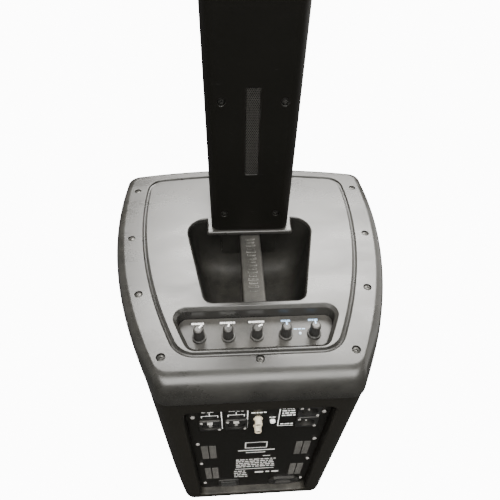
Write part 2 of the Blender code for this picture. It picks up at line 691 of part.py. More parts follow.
def make_mixer(plate_finish, board_finish, lens_finish, pot_finish, knob_finish):
    """Control plate, circuit board, pots, knobs and status light."""
    bevel = POCKET_BEVEL
    low = POCKET_FLOOR_Z - MIXER_PLATE
    plate = place("mixer_plate", prism(pocket_outline(bevel + GAP, POCKET_CORNER - bevel), low,
                                       POCKET_FLOOR_Z),
                  plate_finish, (0.0, KNOB_Y, POCKET_FLOOR_Z))
    bush_radius = 0.0036
    holes = [prism(circle(bush_radius + 0.0003, 12, spot), low - 0.005, POCKET_FLOOR_Z + 0.005)
             for spot in knob_places()]
    holes.append(prism(circle(LENS_RADIUS + 0.0003, 10, lens_place()), low - 0.005, POCKET_FLOOR_Z + 0.005))
    carve(plate, merged(*holes), "cut_plate_holes")
    lens = turned_mesh([(0.0, -0.004), (LENS_RADIUS, -0.004), (LENS_RADIUS, 0.0004), (0.0, 0.0009)], 10)
    stand("status_lens", lens, lens_finish, (*lens_place(), POCKET_FLOOR_Z), (0.0, 0.0, 0.0))
    board_top = low - GAP - POT_HEIGHT - GAP
    half = side_x(KNOB_Y + 0.016, POCKET_SIDE_INSET) - 0.004
    place("mixer_board", block(-half, half, KNOB_Y - 0.016, KNOB_Y + 0.016, board_top - 0.0016, board_top),
          board_finish, (0.0, KNOB_Y, board_top))
    can_top = low - GAP
    bore = SHAFT_RADIUS + 0.00008
    pot = [(0.0, 0.0), (POT_RADIUS, 0.0), (POT_RADIUS, POT_HEIGHT), (bush_radius, POT_HEIGHT),
           (bush_radius, POT_HEIGHT + 0.0055), (bore, POT_HEIGHT + 0.0055), (bore, 0.0015), (0.0, 0.0015)]
    pot_shape = turned_mesh(pot, 20)
    pot_mesh = bpy.data.meshes.new("level_pot")
    pot_shape.to_mesh(pot_mesh)
    pot_shape.free()
    foot = 0.0006
    shaft_end = can_top - POT_HEIGHT + 0.002 - POCKET_FLOOR_Z
    knob = [(0.0, KNOB_HEIGHT), (KNOB_RADIUS - 0.0012, KNOB_HEIGHT), (KNOB_RADIUS, KNOB_HEIGHT - 0.001),
            (KNOB_RADIUS + 0.0003, 0.0045), (KNOB_SKIRT_RADIUS, 0.003), (KNOB_SKIRT_RADIUS, foot),
            (0.0046, foot), (0.0046, 0.0058), (SHAFT_RADIUS, 0.0058), (SHAFT_RADIUS, shaft_end), (0.0,
                                                                                                  shaft_end)]
    knob_shape = turned_mesh(knob, 20)
    knob_mesh = bpy.data.meshes.new("level_knob")
    knob_shape.to_mesh(knob_mesh)
    knob_shape.free()
    for index, (x, y) in enumerate(knob_places()):
        number = index + 1
        stand_mesh(f"level_pot_{number}", pot_mesh, pot_finish, (x, y, can_top - POT_HEIGHT),
                   (0.0, 0.0, 0.0))
        turn = math.radians(KNOB_REST_TURN_DEG[index])
        piece = stand_mesh(f"level_knob_{number}", knob_mesh, knob_finish, (x, y, POCKET_FLOOR_Z),
                           (0.0, 0.0, turn))
        carve(piece, block(-0.0006, 0.0006, -KNOB_RADIUS, 0.0, KNOB_HEIGHT - 0.0006, KNOB_HEIGHT + 0.001),
              f"cut_pointer_{number}", "DIFFERENCE", (x, y, POCKET_FLOOR_Z), (0.0, 0.0, turn))


# ================================================================== bass driver and port
def make_woofer(metal, magnet_finish, paper, rubber, black):
    """Bass driver: frame, magnet, cone with its coil, and surround, on the baffle; and the port tube."""
    place_at = (0.0, BAFFLE_Y, WOOFER_Z)
    edge = WOOFER_RADIUS
    throat = WOOFER_CUTOUT_RADIUS - 0.002
    basket = [(edge, GAP), (edge, 0.0053), (0.111, 0.0053), (0.108, -0.004), (0.060, -0.0545),
              (0.029, -0.0545), (0.029, -0.0577), (0.062, -0.0577), (throat - 0.003, -0.006), (throat, GAP)]
    frame = stand("woofer_frame", turned_mesh(basket, 32), metal, place_at, FACING_FRONT)
    windows = []
    for turn in range(3):
        slot = block(-0.020, 0.020, -0.130, 0.130, -0.0465, -0.014)
        bmesh.ops.rotate(slot, verts=slot.verts, cent=(0, 0, 0), matrix=Matrix.Rotation(math.pi / 3 * turn,
                                                                                        3, "Z"))
        windows.append(slot)
    for number, slot in enumerate(windows):
        carve(frame, slot, f"cut_frame_window_{number + 1}", "DIFFERENCE", place_at, FACING_FRONT)
    magnet = [(0.0, -0.059), (0.0195, -0.059), (0.0195, -0.092), (0.0245, -0.092), (0.0245, -0.058),
              (0.060, -0.058),
              (0.060, -0.066), (0.070, -0.066), (0.070, -0.086), (0.062, -0.095), (0.0, -0.095)]
    stand("woofer_magnet", turned_mesh(magnet, 32), magnet_finish, place_at, FACING_FRONT)
    cone = [(0.0, -0.016), (0.016, -0.019), (0.030, -0.027), (0.0955, 0.0062), (0.0955, 0.0050),
            (0.0300, -0.0290),
            (0.0222, -0.0330), (0.0222, -0.0740), (0.0210, -0.0740), (0.0210, -0.0300), (0.0150, -0.0205),
            (0.0, -0.0175)]
    stand("woofer_cone", turned_mesh(cone, 32), paper, place_at, FACING_FRONT)
    surround = [(0.0958, 0.0056), (0.0985, 0.0056), (0.1015, 0.0110), (0.1055, 0.0128), (0.1095, 0.0110),
                (0.1125, 0.0056), (0.1240, 0.0056), (0.1240, 0.0070), (0.1130, 0.0070), (0.1104, 0.0122),
                (0.1055, 0.0142), (0.1006, 0.0122), (0.0978, 0.0070), (0.0958, 0.0070)]
    stand("woofer_surround", turned_mesh(surround, 32), rubber, place_at, FACING_FRONT)
    outer = PORT_RADIUS + 0.003
    port = [(PORT_RADIUS + 0.004, 0.0033), (PORT_FLANGE, 0.0033), (PORT_FLANGE, GAP), (outer, GAP),
            (outer, -PORT_LENGTH), (PORT_RADIUS, -PORT_LENGTH), (PORT_RADIUS, -0.003)]
    stand("port_tube", turned_mesh(port, ROUND), black, (-PORT_SIDE, BAFFLE_Y, PORT_Z), FACING_FRONT)


# ================================================================== connector plate
def panel_ring(width, height, corner):
    """Outline of a small connector flange about its own middle."""
    return rounded_rectangle(width, height, corner, 2)


def make_plate(finish_plate):
    """Connector plate with a hole for each connector."""
    middle = (PLATE_Z0 + PLATE_Z1) / 2
    outline = rounded_rectangle(2 * PLATE_HALF, PLATE_Z1 - PLATE_Z0, PLATE_CORNER, 3, (0.0, middle))
    plate = place("amp_plate", upright_prism(outline, PLATE_BACK_Y, PLATE_FACE_Y), finish_plate,
                  (0.0, PLATE_FACE_Y, middle))
    y0 = PLATE_BACK_Y - 0.01
    y1 = PLATE_FACE_Y + 0.01
    hole = CONNECTOR_RADIUS + 0.0004
    cuts = [upright_prism(circle(hole, 20, (x, PLATE_Z1 - COMBO_FROM_TOP)), y0, y1) for x in COMBO_X]
    cuts += [upright_prism(circle(hole, 20, (OUTPUT_X, PLATE_Z1 - drop)), y0,
                           y1) for drop in OUTPUT_FROM_TOP]
    cuts += [upright_prism(circle(0.0046, 12, (PHONO_X, PLATE_Z1 - drop)), y0,
                           y1) for drop in PHONO_FROM_TOP]
    cuts.append(upright_prism(circle(0.0035, 12, (PAIR_X, PLATE_Z1 - PAIR_FROM_TOP)), y0, y1))
    for x, low, width, height in ((INLET_X, INLET_FROM_BOTTOM, 0.029, 0.021),
                                  (ROCKER_X, ROCKER_FROM_BOTTOM, 0.027, 0.020)):
        z = PLATE_Z0 + low
        cuts.append(block(x - width / 2, x + width / 2, y0, y1, z - height / 2, z + height / 2))
    carve(plate, merged(*cuts), "cut_connector_holes")
    z = PLATE_Z1 - COMBO_FROM_TOP
    notches = [block(x - 0.004, x + 0.004, y0 - 0.001, y1 + 0.001, z + 0.008, z + 0.0127) for x in COMBO_X]
    carve(plate, merged(*notches), "cut_latch_notches")


def connector_body(name, x, z, material):
    """Flange in front of the plate with a round body through it, before its socket is cut."""
    flange = loft_mesh([at_height(panel_ring(FLANGE_WIDTH, FLANGE_HEIGHT, 0.003), GAP),
                        at_height(panel_ring(FLANGE_WIDTH, FLANGE_HEIGHT, 0.003), 0.0023)])
    spot = (x, PLATE_FACE_Y, z)
    piece = stand(name, flange, material, spot, FACING_REAR)
    carve(piece, turned_mesh([(0.0, -0.018), (CONNECTOR_RADIUS, -0.018), (CONNECTOR_RADIUS, 0.001),
                              (0.0, 0.001)], 20),
          "add_body_of_" + name, "UNION", spot, FACING_REAR)
    return piece, spot


def make_combo(number, x, material, latch_material):
    """Combined input socket with its release tab."""
    name = f"combo_jack_{number}"
    piece, spot = connector_body(name, x, PLATE_Z1 - COMBO_FROM_TOP, material)
    dish = turned_mesh([(0.0, -0.004), (0.0088, -0.004), (0.0088, 0.01), (0.0, 0.01)], 16)
    carve(piece, dish, "cut_dish_of_" + name, "DIFFERENCE", spot, FACING_REAR)
    bore = turned_mesh([(0.0, -0.016), (0.0033, -0.016), (0.0033, 0.0), (0.0, 0.0)], 12)
    carve(piece, bore, "cut_bore_of_" + name, "DIFFERENCE", spot, FACING_REAR)
    carve(piece, block(-0.0035, 0.0035, 0.0096, 0.0122, -0.0065, 0.01), "cut_notch_of_" + name,
          "DIFFERENCE", spot, FACING_REAR)
    tab = block(-0.0032, 0.0032, 0.0099, 0.0119, -0.0035, 0.0045)
    stand(f"combo_latch_{number}", tab, latch_material, spot, FACING_REAR)


def make_output(number, drop, material):
    """Output plug socket with three pins."""
    name = f"output_socket_{number}"
    piece, spot = connector_body(name, OUTPUT_X, PLATE_Z1 - drop, material)
    cup = turned_mesh([(0.0, -0.014), (0.0090, -0.014), (0.0090, 0.01), (0.0, 0.01)], 16)
    carve(piece, cup, "cut_cup_of_" + name, "DIFFERENCE", spot, FACING_REAR)
    for pin, (px, py) in enumerate(((-0.0041, 0.0025), (0.0041, 0.0025), (0.0, -0.0035))):
        post = prism(circle(0.0012, 8, (px, py)), -0.0155, -0.001)
        carve(piece, post, f"add_pin_{pin + 1}_of_" + name, "UNION", spot, FACING_REAR)


def make_small_sockets(black, gold):
    """Stacked phono pair and the pairing button."""
    low = PLATE_Z1 - PHONO_FROM_TOP[1]
    high = PLATE_Z1 - PHONO_FROM_TOP[0]
    back = PLATE_BACK_Y - GAP
    half = 0.007
    body = place("phono_pair", block(PHONO_X - half, PHONO_X + half, back - 0.010, back, low - 0.010,
                                     high + 0.010), gold,
                 (PHONO_X, PLATE_FACE_Y, low))
    for number, z in enumerate((low, high)):
        barrel = turned_mesh([(0.0, -0.006), (0.0042, -0.006), (0.0042, 0.009), (0.0022, 0.009),
                              (0.0022, 0.001),
                              (0.0, 0.001)], 14)
        carve(body, barrel, f"add_barrel_{number + 1}", "UNION", (PHONO_X, PLATE_FACE_Y, z), FACING_REAR)
    button = turned_mesh([(0.0, -0.006), (0.0031, -0.006), (0.0031, 0.0022), (0.0026, 0.0028),
                          (0.0, 0.0028)], 14)
    stand("pairing_button", button, black, (PAIR_X, PLATE_FACE_Y, PLATE_Z1 - PAIR_FROM_TOP), FACING_REAR)


def make_power(black, rocker_finish):
    """Mains inlet, and the power switch's frame and rocker."""
    z = PLATE_Z0 + INLET_FROM_BOTTOM
    spot = (INLET_X, PLATE_FACE_Y, z)
    flange = [(-0.024, 0.0), (-0.015, -0.0125), (0.015, -0.0125), (0.024, 0.0), (0.015, 0.0125),
              (-0.015, 0.0125)]
    inlet = stand("mains_inlet", loft_mesh([at_height(flange, GAP), at_height(flange, 0.004)]), black, spot,
                  FACING_REAR)
    carve(inlet, block(-0.014, 0.014, -0.010, 0.010, -0.018, 0.002), "add_inlet_body", "UNION", spot,
          FACING_REAR)
    mouth = [(-0.012, -0.0085), (0.012, -0.0085), (0.012, 0.0035), (0.0075, 0.0085), (-0.0075, 0.0085),
             (-0.012, 0.0035)]
    carve(inlet, loft_mesh([at_height(mouth, -0.0155), at_height(mouth, 0.01)]), "cut_inlet_mouth",
          "DIFFERENCE", spot,
          FACING_REAR)
    for number, (px, py) in enumerate(((-0.007, -0.002), (0.007, -0.002), (0.0, 0.002))):
        blade = block(px - 0.001, px + 0.001, py - 0.002, py + 0.002, -0.0165, -0.004)
        carve(inlet, blade, f"add_blade_{number + 1}", "UNION", spot, FACING_REAR)
    z = PLATE_Z0 + ROCKER_FROM_BOTTOM
    spot = (ROCKER_X, PLATE_FACE_Y, z)
    frame = stand("rocker_frame", loft_mesh([at_height(panel_ring(0.031, 0.024, 0.002), GAP),
                                             at_height(panel_ring(0.031, 0.024, 0.002),
                                                       0.0023)]), black, spot, FACING_REAR)
    carve(frame, block(-0.013, 0.013, -0.0095, 0.0095, -0.018, 0.001), "add_switch_body", "UNION", spot,
          FACING_REAR)
    carve(frame, block(-0.0115, 0.0115, -0.0082, 0.0082, -0.0145, 0.01), "cut_rocker_well", "DIFFERENCE",
          spot, FACING_REAR)
    tilt = math.radians(ROCKER_TILT_DEG)
    half = 0.0068
    rise = 2 * half * math.tan(tilt)
    section = [(-half, 0.0030 + rise), (0.0, 0.0030), (half, 0.0030), (0.0050, -0.0050), (-0.0050, -0.0050)]
    loops = [[(x, y, h) for y, h in section] for x in (-0.0110, 0.0110)]
    stand("power_rocker", loft_mesh(loops), rocker_finish, spot, FACING_REAR)


def make_electronics(board_finish, aluminium, metal):
    """Amplifier board, heat sink and power supply behind the plate."""
    inner = REAR_Y - CABINET_STEP - REAR_WALL
    board_y = inner - 0.0135
    place("amp_board", block(-0.060, 0.060, board_y, board_y + 0.0016, PLATE_Z0 + 0.060, PLATE_Z1 - 0.020),
          board_finish,
          (0.0, board_y, (PLATE_Z0 + PLATE_Z1) / 2))
    fin_count = 8
    half = 0.055
    root = board_y - GAP
    plan = [(-half, root), (-half, root - 0.030)]
    pitch = 2 * half / (2 * fin_count - 1)
    for fin in range(fin_count):
        x = -half + 2 * fin * pitch
        plan += [(x, root - 0.030), (x + pitch, root - 0.030)]
        if fin < fin_count - 1:
            plan += [(x + pitch, root - 0.006), (x + 2 * pitch, root - 0.006)]
    plan.append((half, root))
    tidy = [point for index, point in enumerate(plan) if index == 0 or math.dist(point,
                                                                                 plan[index - 1]) > 1e-6]
    place("heat_sink", prism(tidy, PLATE_Z0 + 0.105, PLATE_Z0 + 0.200), aluminium, (0.0, root, PLATE_Z0))
    place("power_supply", block(-0.058, 0.058, board_y - 0.060, board_y - 0.002, CABINET_FLOOR_Z + GAP,
                                CABINET_FLOOR_Z + 0.045), metal, (0.0, board_y, CABINET_FLOOR_Z))


# ================================================================== column
def column_outline(inset):
    """Plan outline of the column, moved in by inset."""
    corner = max(COLUMN_CORNER - inset, 0.002)
    return rounded_rectangle(COLUMN_WIDTH - 2 * inset, COLUMN_DEPTH - 2 * inset, corner, 4, (0.0, COLUMN_Y))


def column_tube(name, z0, material):
    """Column casing before its openings are cut."""
    z1 = z0 + COLUMN_LENGTH
    tube = place(name, prism(column_outline(0.0), z0, z1), material, (0.0, COLUMN_Y, z0))
    carve(tube, prism(column_outline(COLUMN_WALL), z0 - 0.01, z1 + 0.01), "cut_inside_of_" + name)
    return tube


def column_screw_places(z0):
    """Screw recesses in a casing's rear, as x and z."""
    step = (COLUMN_LENGTH - 2 * COLUMN_SCREW_FROM_END) / (COLUMN_SCREW_ROWS - 1)
    rows = [z0 + COLUMN_SCREW_FROM_END + step * row for row in range(COLUMN_SCREW_ROWS)]
    return [(side * COLUMN_SCREW_HALF_SPACING, z) for z in rows for side in (-1, 1)]


def cut_screw_recesses(casing, z0):
    """Sink the screw recesses into a casing's rear face."""
    recesses = [upright_prism(circle(COLUMN_SCREW_RADIUS, 10, spot), COLUMN_REAR_Y - 0.003,
                              COLUMN_REAR_Y + 0.01)
                for spot in column_screw_places(z0)]
    carve(casing, merged(*recesses), "cut_recesses_of_" + casing.name)


def make_spigot(name, z0, material):
    """Plate that closes a casing's foot, with the spigot below it."""
    plate = place(name, prism(column_outline(COLUMN_WALL + GAP), z0 + GAP, z0 + END_PLATE), material,
                  (0.0, SPIGOT_Y, z0))
    tongue = rounded_rectangle(SPIGOT_WIDTH, SPIGOT_DEPTH, 0.003, 2, (0.0, SPIGOT_Y))
    carve(plate, prism(tongue, z0 - GAP - SPIGOT_LENGTH, z0 + END_PLATE - 0.002), "add_tongue_of_" + name,
          "UNION")
    half = CONTACT_WIDTH / 2
    low = z0 - GAP - SPIGOT_LENGTH
    carve(plate, block(-half, half, SPIGOT_Y - 0.006, SPIGOT_Y + 0.006, low - 0.01, low + CONTACT_HEIGHT),
          "cut_slot_of_" + name)


def make_lower_column(black, mesh_finish):
    """Lower column: front and rear casing halves, vent strip, spigot and top socket."""
    z0 = LOWER_FOOT_Z
    z1 = z0 + COLUMN_LENGTH
    wide = COLUMN_WIDTH
    far = COLUMN_DEPTH
    rear = column_tube("lower_rear_casing", z0, black)
    carve(rear, block(-wide, wide, COLUMN_Y - far, COLUMN_Y + GAP / 2, z0 - 0.02, z1 + 0.02),
          "cut_front_half_away")
    front = column_tube("lower_front_casing", z0, black)
    carve(front, block(-wide, wide, COLUMN_Y - GAP / 2, COLUMN_Y + far, z0 - 0.02, z1 + 0.02),
          "cut_rear_half_away")
    cut_screw_recesses(rear, z0)
    low = z0 + VENT_FROM_FOOT
    high = low + VENT_LENGTH
    half = VENT_WIDTH / 2
    carve(rear, block(-half, half, COLUMN_REAR_Y - 0.01, COLUMN_REAR_Y + 0.01, low, high),
          "cut_vent_window")
    place("vent_strip", block(-half + GAP, half - GAP, COLUMN_REAR_Y - 0.0032, COLUMN_REAR_Y - 0.0007,
                              low + GAP, high - GAP),
          mesh_finish, (0.0, COLUMN_REAR_Y, low))
    make_spigot("lower_spigot", z0, black)
    outer = column_outline(COLUMN_WALL + GAP)
    make_socket_block("lower_top_socket", black, z1 - GAP, outer)


def make_upper_column(black, mesh_finish, driver_finish):
    """Upper column: casing, driver board, six drivers, grille, top cap and spigot."""
    z0 = UPPER_FOOT_Z
    z1 = UPPER_TOP_Z
    front_y = COLUMN_Y - COLUMN_DEPTH / 2
    casing = column_tube("array_casing", z0, black)
    margin = ARRAY_WINDOW_MARGIN
    half = COLUMN_WIDTH / 2 - margin
    carve(casing, block(-half, half, front_y - 0.01, front_y + 0.012, z0 + margin, z1 - margin),
          "cut_array_window")
    cut_screw_recesses(casing, z0)
    baffle_y = front_y + 0.0063
    inner = half - 0.0005
    board = place("driver_board", block(-inner, inner, baffle_y, baffle_y + 0.006, z0 + END_PLATE + 0.001,
                                        z1 - 0.012), black,
                  (0.0, baffle_y, z0))
    middle = (z0 + z1) / 2
    first = middle - DRIVER_PITCH * (DRIVER_COUNT - 1) / 2
    heights = [first + DRIVER_PITCH * index for index in range(DRIVER_COUNT)]
    holes = [upright_prism(circle(DRIVER_CUTOUT_RADIUS, 20, (0.0, z)), baffle_y - 0.01,
                           baffle_y + 0.02) for z in heights]
    carve(board, merged(*holes), "cut_driver_holes")
    lip = DRIVER_FLANGE_RADIUS
    neck = DRIVER_CUTOUT_RADIUS - 0.001
    profile = [(0.0, -0.003), (0.009, -0.0045), (0.011, -0.007), (0.027, 0.0005), (0.031, 0.0030),
               (lip, 0.0025),
               (lip, GAP), (neck, GAP), (neck - 0.004, -0.016), (0.022, -0.018), (0.022, -0.034), (0.0,
                                                                                                   -0.034)]
    shape = turned_mesh(profile, 20)
    mesh = bpy.data.meshes.new("array_driver")
    shape.to_mesh(mesh)
    shape.free()
    for number, z in enumerate(heights):
        stand_mesh(f"array_driver_{number + 1}", mesh, driver_finish, (0.0, baffle_y, z), FACING_FRONT)
    edge = half - 0.0005
    place("array_grille", block(-edge, edge, front_y + 0.0004, front_y + 0.0016, z0 + margin + 0.0005,
                                z1 - margin - 0.0005),
          mesh_finish, (0.0, front_y, z0))
    cap = place("array_cap", prism(column_outline(0.0), z1 + GAP, z1 + ARRAY_CAP), black,
                (0.0, COLUMN_Y, z1))
    carve(cap, prism(column_outline(COLUMN_WALL + GAP), z1 - 0.010, z1 + 0.002), "add_cap_plug", "UNION")
    make_spigot("array_spigot", z0, black)


def build():
    """Build every piece."""
    clear_scene()
    cap_black = finish("cap_black", (0.035, 0.034, 0.031), 0.42)
    body_black = finish("body_black", (0.020, 0.019, 0.016), 0.50)
    column_black = finish("column_black", (0.010, 0.009, 0.008), 0.45)
    board_black = finish("board_black", (0.012, 0.012, 0.012), 0.80)
    grey = finish("handle_grey", (0.090, 0.088, 0.082), 0.45)
    mesh_black = finish("mesh_black", (0.015, 0.015, 0.015), 0.45, 0.6)
    plate_black = finish("plate_black", (0.016, 0.015, 0.013), 0.50, 0.3)
    rubber = finish("rubber_black", (0.012, 0.012, 0.012), 0.85)
    paper = finish("cone_black", (0.010, 0.010, 0.010), 0.75)
    steel = finish("steel", (0.35, 0.35, 0.34), 0.35, 1.0)
    aluminium = finish("aluminium", (0.62, 0.62, 0.62), 0.35, 1.0)
    gold = finish("gold_plate", (0.75, 0.55, 0.28), 0.25, 1.0)
    green = finish("circuit_green", (0.02, 0.12, 0.05), 0.45)
    lens = finish("lens_blue", (0.35, 0.55, 0.80), 0.15)
    make_cabinet(body_black)
    make_baffle(board_black)
    make_grille(mesh_black)
    make_cap(cap_black)
    make_liner(body_black)
    make_column_socket(body_black)
    make_handle(grey)
    make_feet(rubber)
    make_mixer(plate_black, green, lens, steel, column_black)
    make_woofer(steel, mesh_black, paper, rubber, board_black)
    make_plate(plate_black)
    for number, x in enumerate(COMBO_X):
        make_combo(number + 1, x, board_black, steel)
    for number, drop in enumerate(OUTPUT_FROM_TOP):
        make_output(number + 1, drop, board_black)
    make_small_sockets(board_black, gold)
    make_power(board_black, rubber)
    make_electronics(green, aluminium, steel)
    make_lower_column(column_black, mesh_black)
    make_upper_column(column_black, mesh_black, paper)


build()
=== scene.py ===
"""Looks of a column loudspeaker system: a bass cabinet with a top mixer and a plug-in column.

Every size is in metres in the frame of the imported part: +Z up, the grille towards -Y and the
connector plate towards +Y.
"""

from __future__ import annotations

import logging
import math
from dataclasses import dataclass, field
from enum import Enum

import bpy
from mathutils import Euler, Matrix, Vector


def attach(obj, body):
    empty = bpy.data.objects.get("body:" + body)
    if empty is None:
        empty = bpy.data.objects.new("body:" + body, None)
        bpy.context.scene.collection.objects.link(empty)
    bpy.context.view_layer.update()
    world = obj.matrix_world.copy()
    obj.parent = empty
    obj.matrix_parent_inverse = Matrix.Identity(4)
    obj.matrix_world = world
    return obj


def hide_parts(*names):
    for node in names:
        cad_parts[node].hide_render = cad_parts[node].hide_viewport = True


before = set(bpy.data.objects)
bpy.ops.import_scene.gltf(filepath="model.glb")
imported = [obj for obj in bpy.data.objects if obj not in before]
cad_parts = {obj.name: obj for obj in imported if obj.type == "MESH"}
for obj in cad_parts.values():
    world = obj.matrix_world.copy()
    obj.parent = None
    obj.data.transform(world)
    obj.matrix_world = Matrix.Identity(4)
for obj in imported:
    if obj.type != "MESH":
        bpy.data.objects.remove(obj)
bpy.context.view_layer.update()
LOG = logging.getLogger("column_system")

Point2 = tuple[float, float]
Point3 = tuple[float, float, float]
Loop = list[Point3]
MERGE_DISTANCE = 1e-6
CLEAR_OF_FACE = 0.01


class Body(Enum):
    """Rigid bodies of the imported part."""

    BASE = "base"
    LOWER = "lower_column"
    UPPER = "upper_column"
    ROCKER = "rocker"
    PAIR = "pair_button"


class Facing(Enum):
    """Ways a turned piece can look."""

    UP = (0.0, 0.0, 0.0)
    REAR = (math.pi / 2, 0.0, math.pi)

    def at(self, spot: Point3, turn: float = 0.0) -> Matrix:
        """Matrix that puts a piece made about the origin at a spot, facing this way.

        Args:
            spot: Where the piece's origin goes.
            turn: Turn about the piece's own axis first, in radians.

        Returns:
            The placing matrix.
        """
        own = Matrix.Rotation(turn, 4, "Z")
        return Matrix.Translation(spot) @ Euler(self.value).to_matrix().to_4x4() @ own


# ------------------------------------------------------------------ modelling tools
def select_only(obj: bpy.types.Object) -> None:
    """Make one object the only selected and the active one."""
    bpy.ops.object.select_all(action="DESELECT")
    obj.select_set(True)
    bpy.context.view_layer.objects.active = obj


def named(name: str) -> bpy.types.Object:
    """Name the primitive that was just added and return it."""
    made = bpy.context.object
    made.name = name
    made.data.name = name
    return made


def mend(obj: bpy.types.Object, fill: bool = False) -> None:
    """Merge doubles, close holes if asked, and turn the faces outward.

    Args:
        obj: The piece.
        fill: Whether its open holes are closed.
    """
    select_only(obj)
    bpy.ops.object.mode_set(mode="EDIT")
    bpy.ops.mesh.select_all(action="SELECT")
    bpy.ops.mesh.remove_doubles(threshold=MERGE_DISTANCE)
    if fill:
        bpy.ops.mesh.select_all(action="SELECT")
        bpy.ops.mesh.fill_holes(sides=0)
    bpy.ops.mesh.select_all(action="SELECT")
    bpy.ops.mesh.normals_make_consistent(inside=False)
    bpy.ops.object.mode_set(mode="OBJECT")


def lofted(name: str, loops: list[Loop], ring: bool = False, fill: bool = True) -> bpy.types.Object:
    """Skin a row of loops with equal counts.

    Args:
        name: Name of the piece.
        loops: Loops in order, each a closed run of points.
        ring: Whether the last loop joins the first.
        fill: Whether the open ends are closed.

    Returns:
        The new object.
    """
    rows = loops + [loops[0]] if ring else loops
    count = len(rows[0])
    bpy.ops.object.select_all(action="DESELECT")
    bpy.ops.mesh.primitive_grid_add(x_subdivisions=count, y_subdivisions=len(rows) - 1, size=1.0)
    obj = named(name)
    flat = [value for loop in rows for point in (*loop, loop[0]) for value in point]
    obj.data.vertices.foreach_set("co", flat)
    obj.data.update()
    mend(obj, fill and not ring)
    return obj


def spun(name: str, profile: list[Point2], steps: int = 48) -> bpy.types.Object:
    """Turn a profile of (radius, height) about Z.

    Args:
        name: Name of the piece.
        profile: Points of the section, from one end to the other.
        steps: Sides of the turned piece.

    Returns:
        The new object.
    """
    bpy.ops.object.select_all(action="DESELECT")
    bpy.ops.mesh.primitive_plane_add(size=0.001)
    obj = named(name)
    bpy.ops.object.mode_set(mode="EDIT")
    bpy.ops.mesh.select_all(action="SELECT")
    bpy.ops.mesh.merge(type="CENTER")
    bpy.ops.transform.translate(value=(profile[0][0], 0.0, profile[0][1]))
    for (r0, h0), (r1, h1) in zip(profile, profile[1:]):
        bpy.ops.mesh.extrude_vertices_move(TRANSFORM_OT_translate={"value": (r1 - r0, 0.0, h1 - h0)})
    bpy.ops.mesh.select_all(action="SELECT")
    bpy.ops.mesh.spin(steps=steps, angle=2 * math.pi, center=(0.0, 0.0, 0.0), axis=(0.0, 0.0, 1.0))
    bpy.ops.object.mode_set(mode="OBJECT")
    mend(obj)
    return obj


def slab(name: str, low: Point3, high: Point3, soft: float = 0.0, segments: int = 2) -> bpy.types.Object:
    """Box between two corners with its edges rounded.

    Args:
        name: Name of the piece.
        low: Its lowest corner.
        high: Its highest corner.
        soft: Width of the rounding, or 0 for sharp edges.
        segments: Steps of the rounding.

    Returns:
        The new object.
    """
    centre = [(a + b) / 2 for a, b in zip(low, high)]
    bpy.ops.object.select_all(action="DESELECT")
    bpy.ops.mesh.primitive_cube_add(size=1.0)
    obj = named(name)
    size = [b - a for a, b in zip(low, high)]
    obj.data.transform(Matrix.Translation(centre) @ Matrix.Diagonal((*size, 1.0)))
    if soft > 0.0:
        bpy.ops.object.mode_set(mode="EDIT")
        bpy.ops.mesh.select_all(action="SELECT")
        bpy.ops.mesh.bevel(offset=soft, segments=segments, affect="EDGES")
        bpy.ops.object.mode_set(mode="OBJECT")
    return obj


def boolean(target: bpy.types.Object, tool: bpy.types.Object, how: str = "DIFFERENCE") -> None:
    """Cut a tool out of a piece, or join it on, and remove the tool.

    Args:
        target: The piece that is changed.
        tool: The piece that is used up.
        how: The modifier's operation.
    """
    select_only(target)
    bpy.ops.object.modifier_add(type="BOOLEAN")
    step = target.modifiers[-1]
    step.operation = how
    step.solver = "EXACT"
    step.object = tool
    bpy.ops.object.modifier_apply(modifier=step.name)
    bpy.data.objects.remove(tool, do_unlink=True)


def soften(obj: bpy.types.Object, width: float, segments: int = 2, angle: float = 40.0) -> None:
    """Round the sharp edges of a piece.

    Args:
        obj: The piece.
        width: Width of the rounding.
        segments: Steps of the rounding.
        angle: Smallest angle that counts as sharp, in degrees.
    """
    select_only(obj)
    bpy.ops.object.modifier_add(type="BEVEL")
    step = obj.modifiers[-1]
    step.width = width
    step.segments = segments
    step.limit_method = "ANGLE"
    step.angle_limit = math.radians(angle)
    bpy.ops.object.modifier_apply(modifier=step.name)


def smooth(obj: bpy.types.Object, angle: float = 38.0) -> None:
    """Shade a piece smooth, with flat faces kept flat.

    Args:
        obj: The piece.
        angle: Largest angle that is smoothed, in degrees.
    """
    select_only(obj)
    bpy.ops.object.shade_smooth_by_angle(angle=math.radians(angle))
    bpy.ops.object.modifier_add(type="WEIGHTED_NORMAL")
    step = obj.modifiers[-1]
    step.keep_sharp = True
    step.weight = 60
    bpy.ops.object.modifier_apply(modifier=step.name)


def copied(source: bpy.types.Object, name: str, where: Matrix) -> bpy.types.Object:
    """Copy a piece with a mesh of its own and place the copy in its mesh.

    Args:
        source: The piece to copy.
        name: Name of the copy.
        where: The placing matrix.

    Returns:
        The copy.
    """
    made = bpy.data.objects.new(name, source.data.copy())
    made.data.name = name
    made.data.transform(where)
    bpy.context.scene.collection.objects.link(made)
    return made


def joined(name: str, parts: list[bpy.types.Object]) -> bpy.types.Object:
    """Join several pieces into one object.

    Args:
        name: Name of the whole.
        parts: The pieces, which are used up.

    Returns:
        The whole.
    """
    bpy.ops.object.select_all(action="DESELECT")
    for part in parts:
        part.select_set(True)
    bpy.context.view_layer.objects.active = parts[0]
    if len(parts) > 1:
        bpy.ops.object.join()
    whole = bpy.context.view_layer.objects.active
    whole.name = name
    return whole


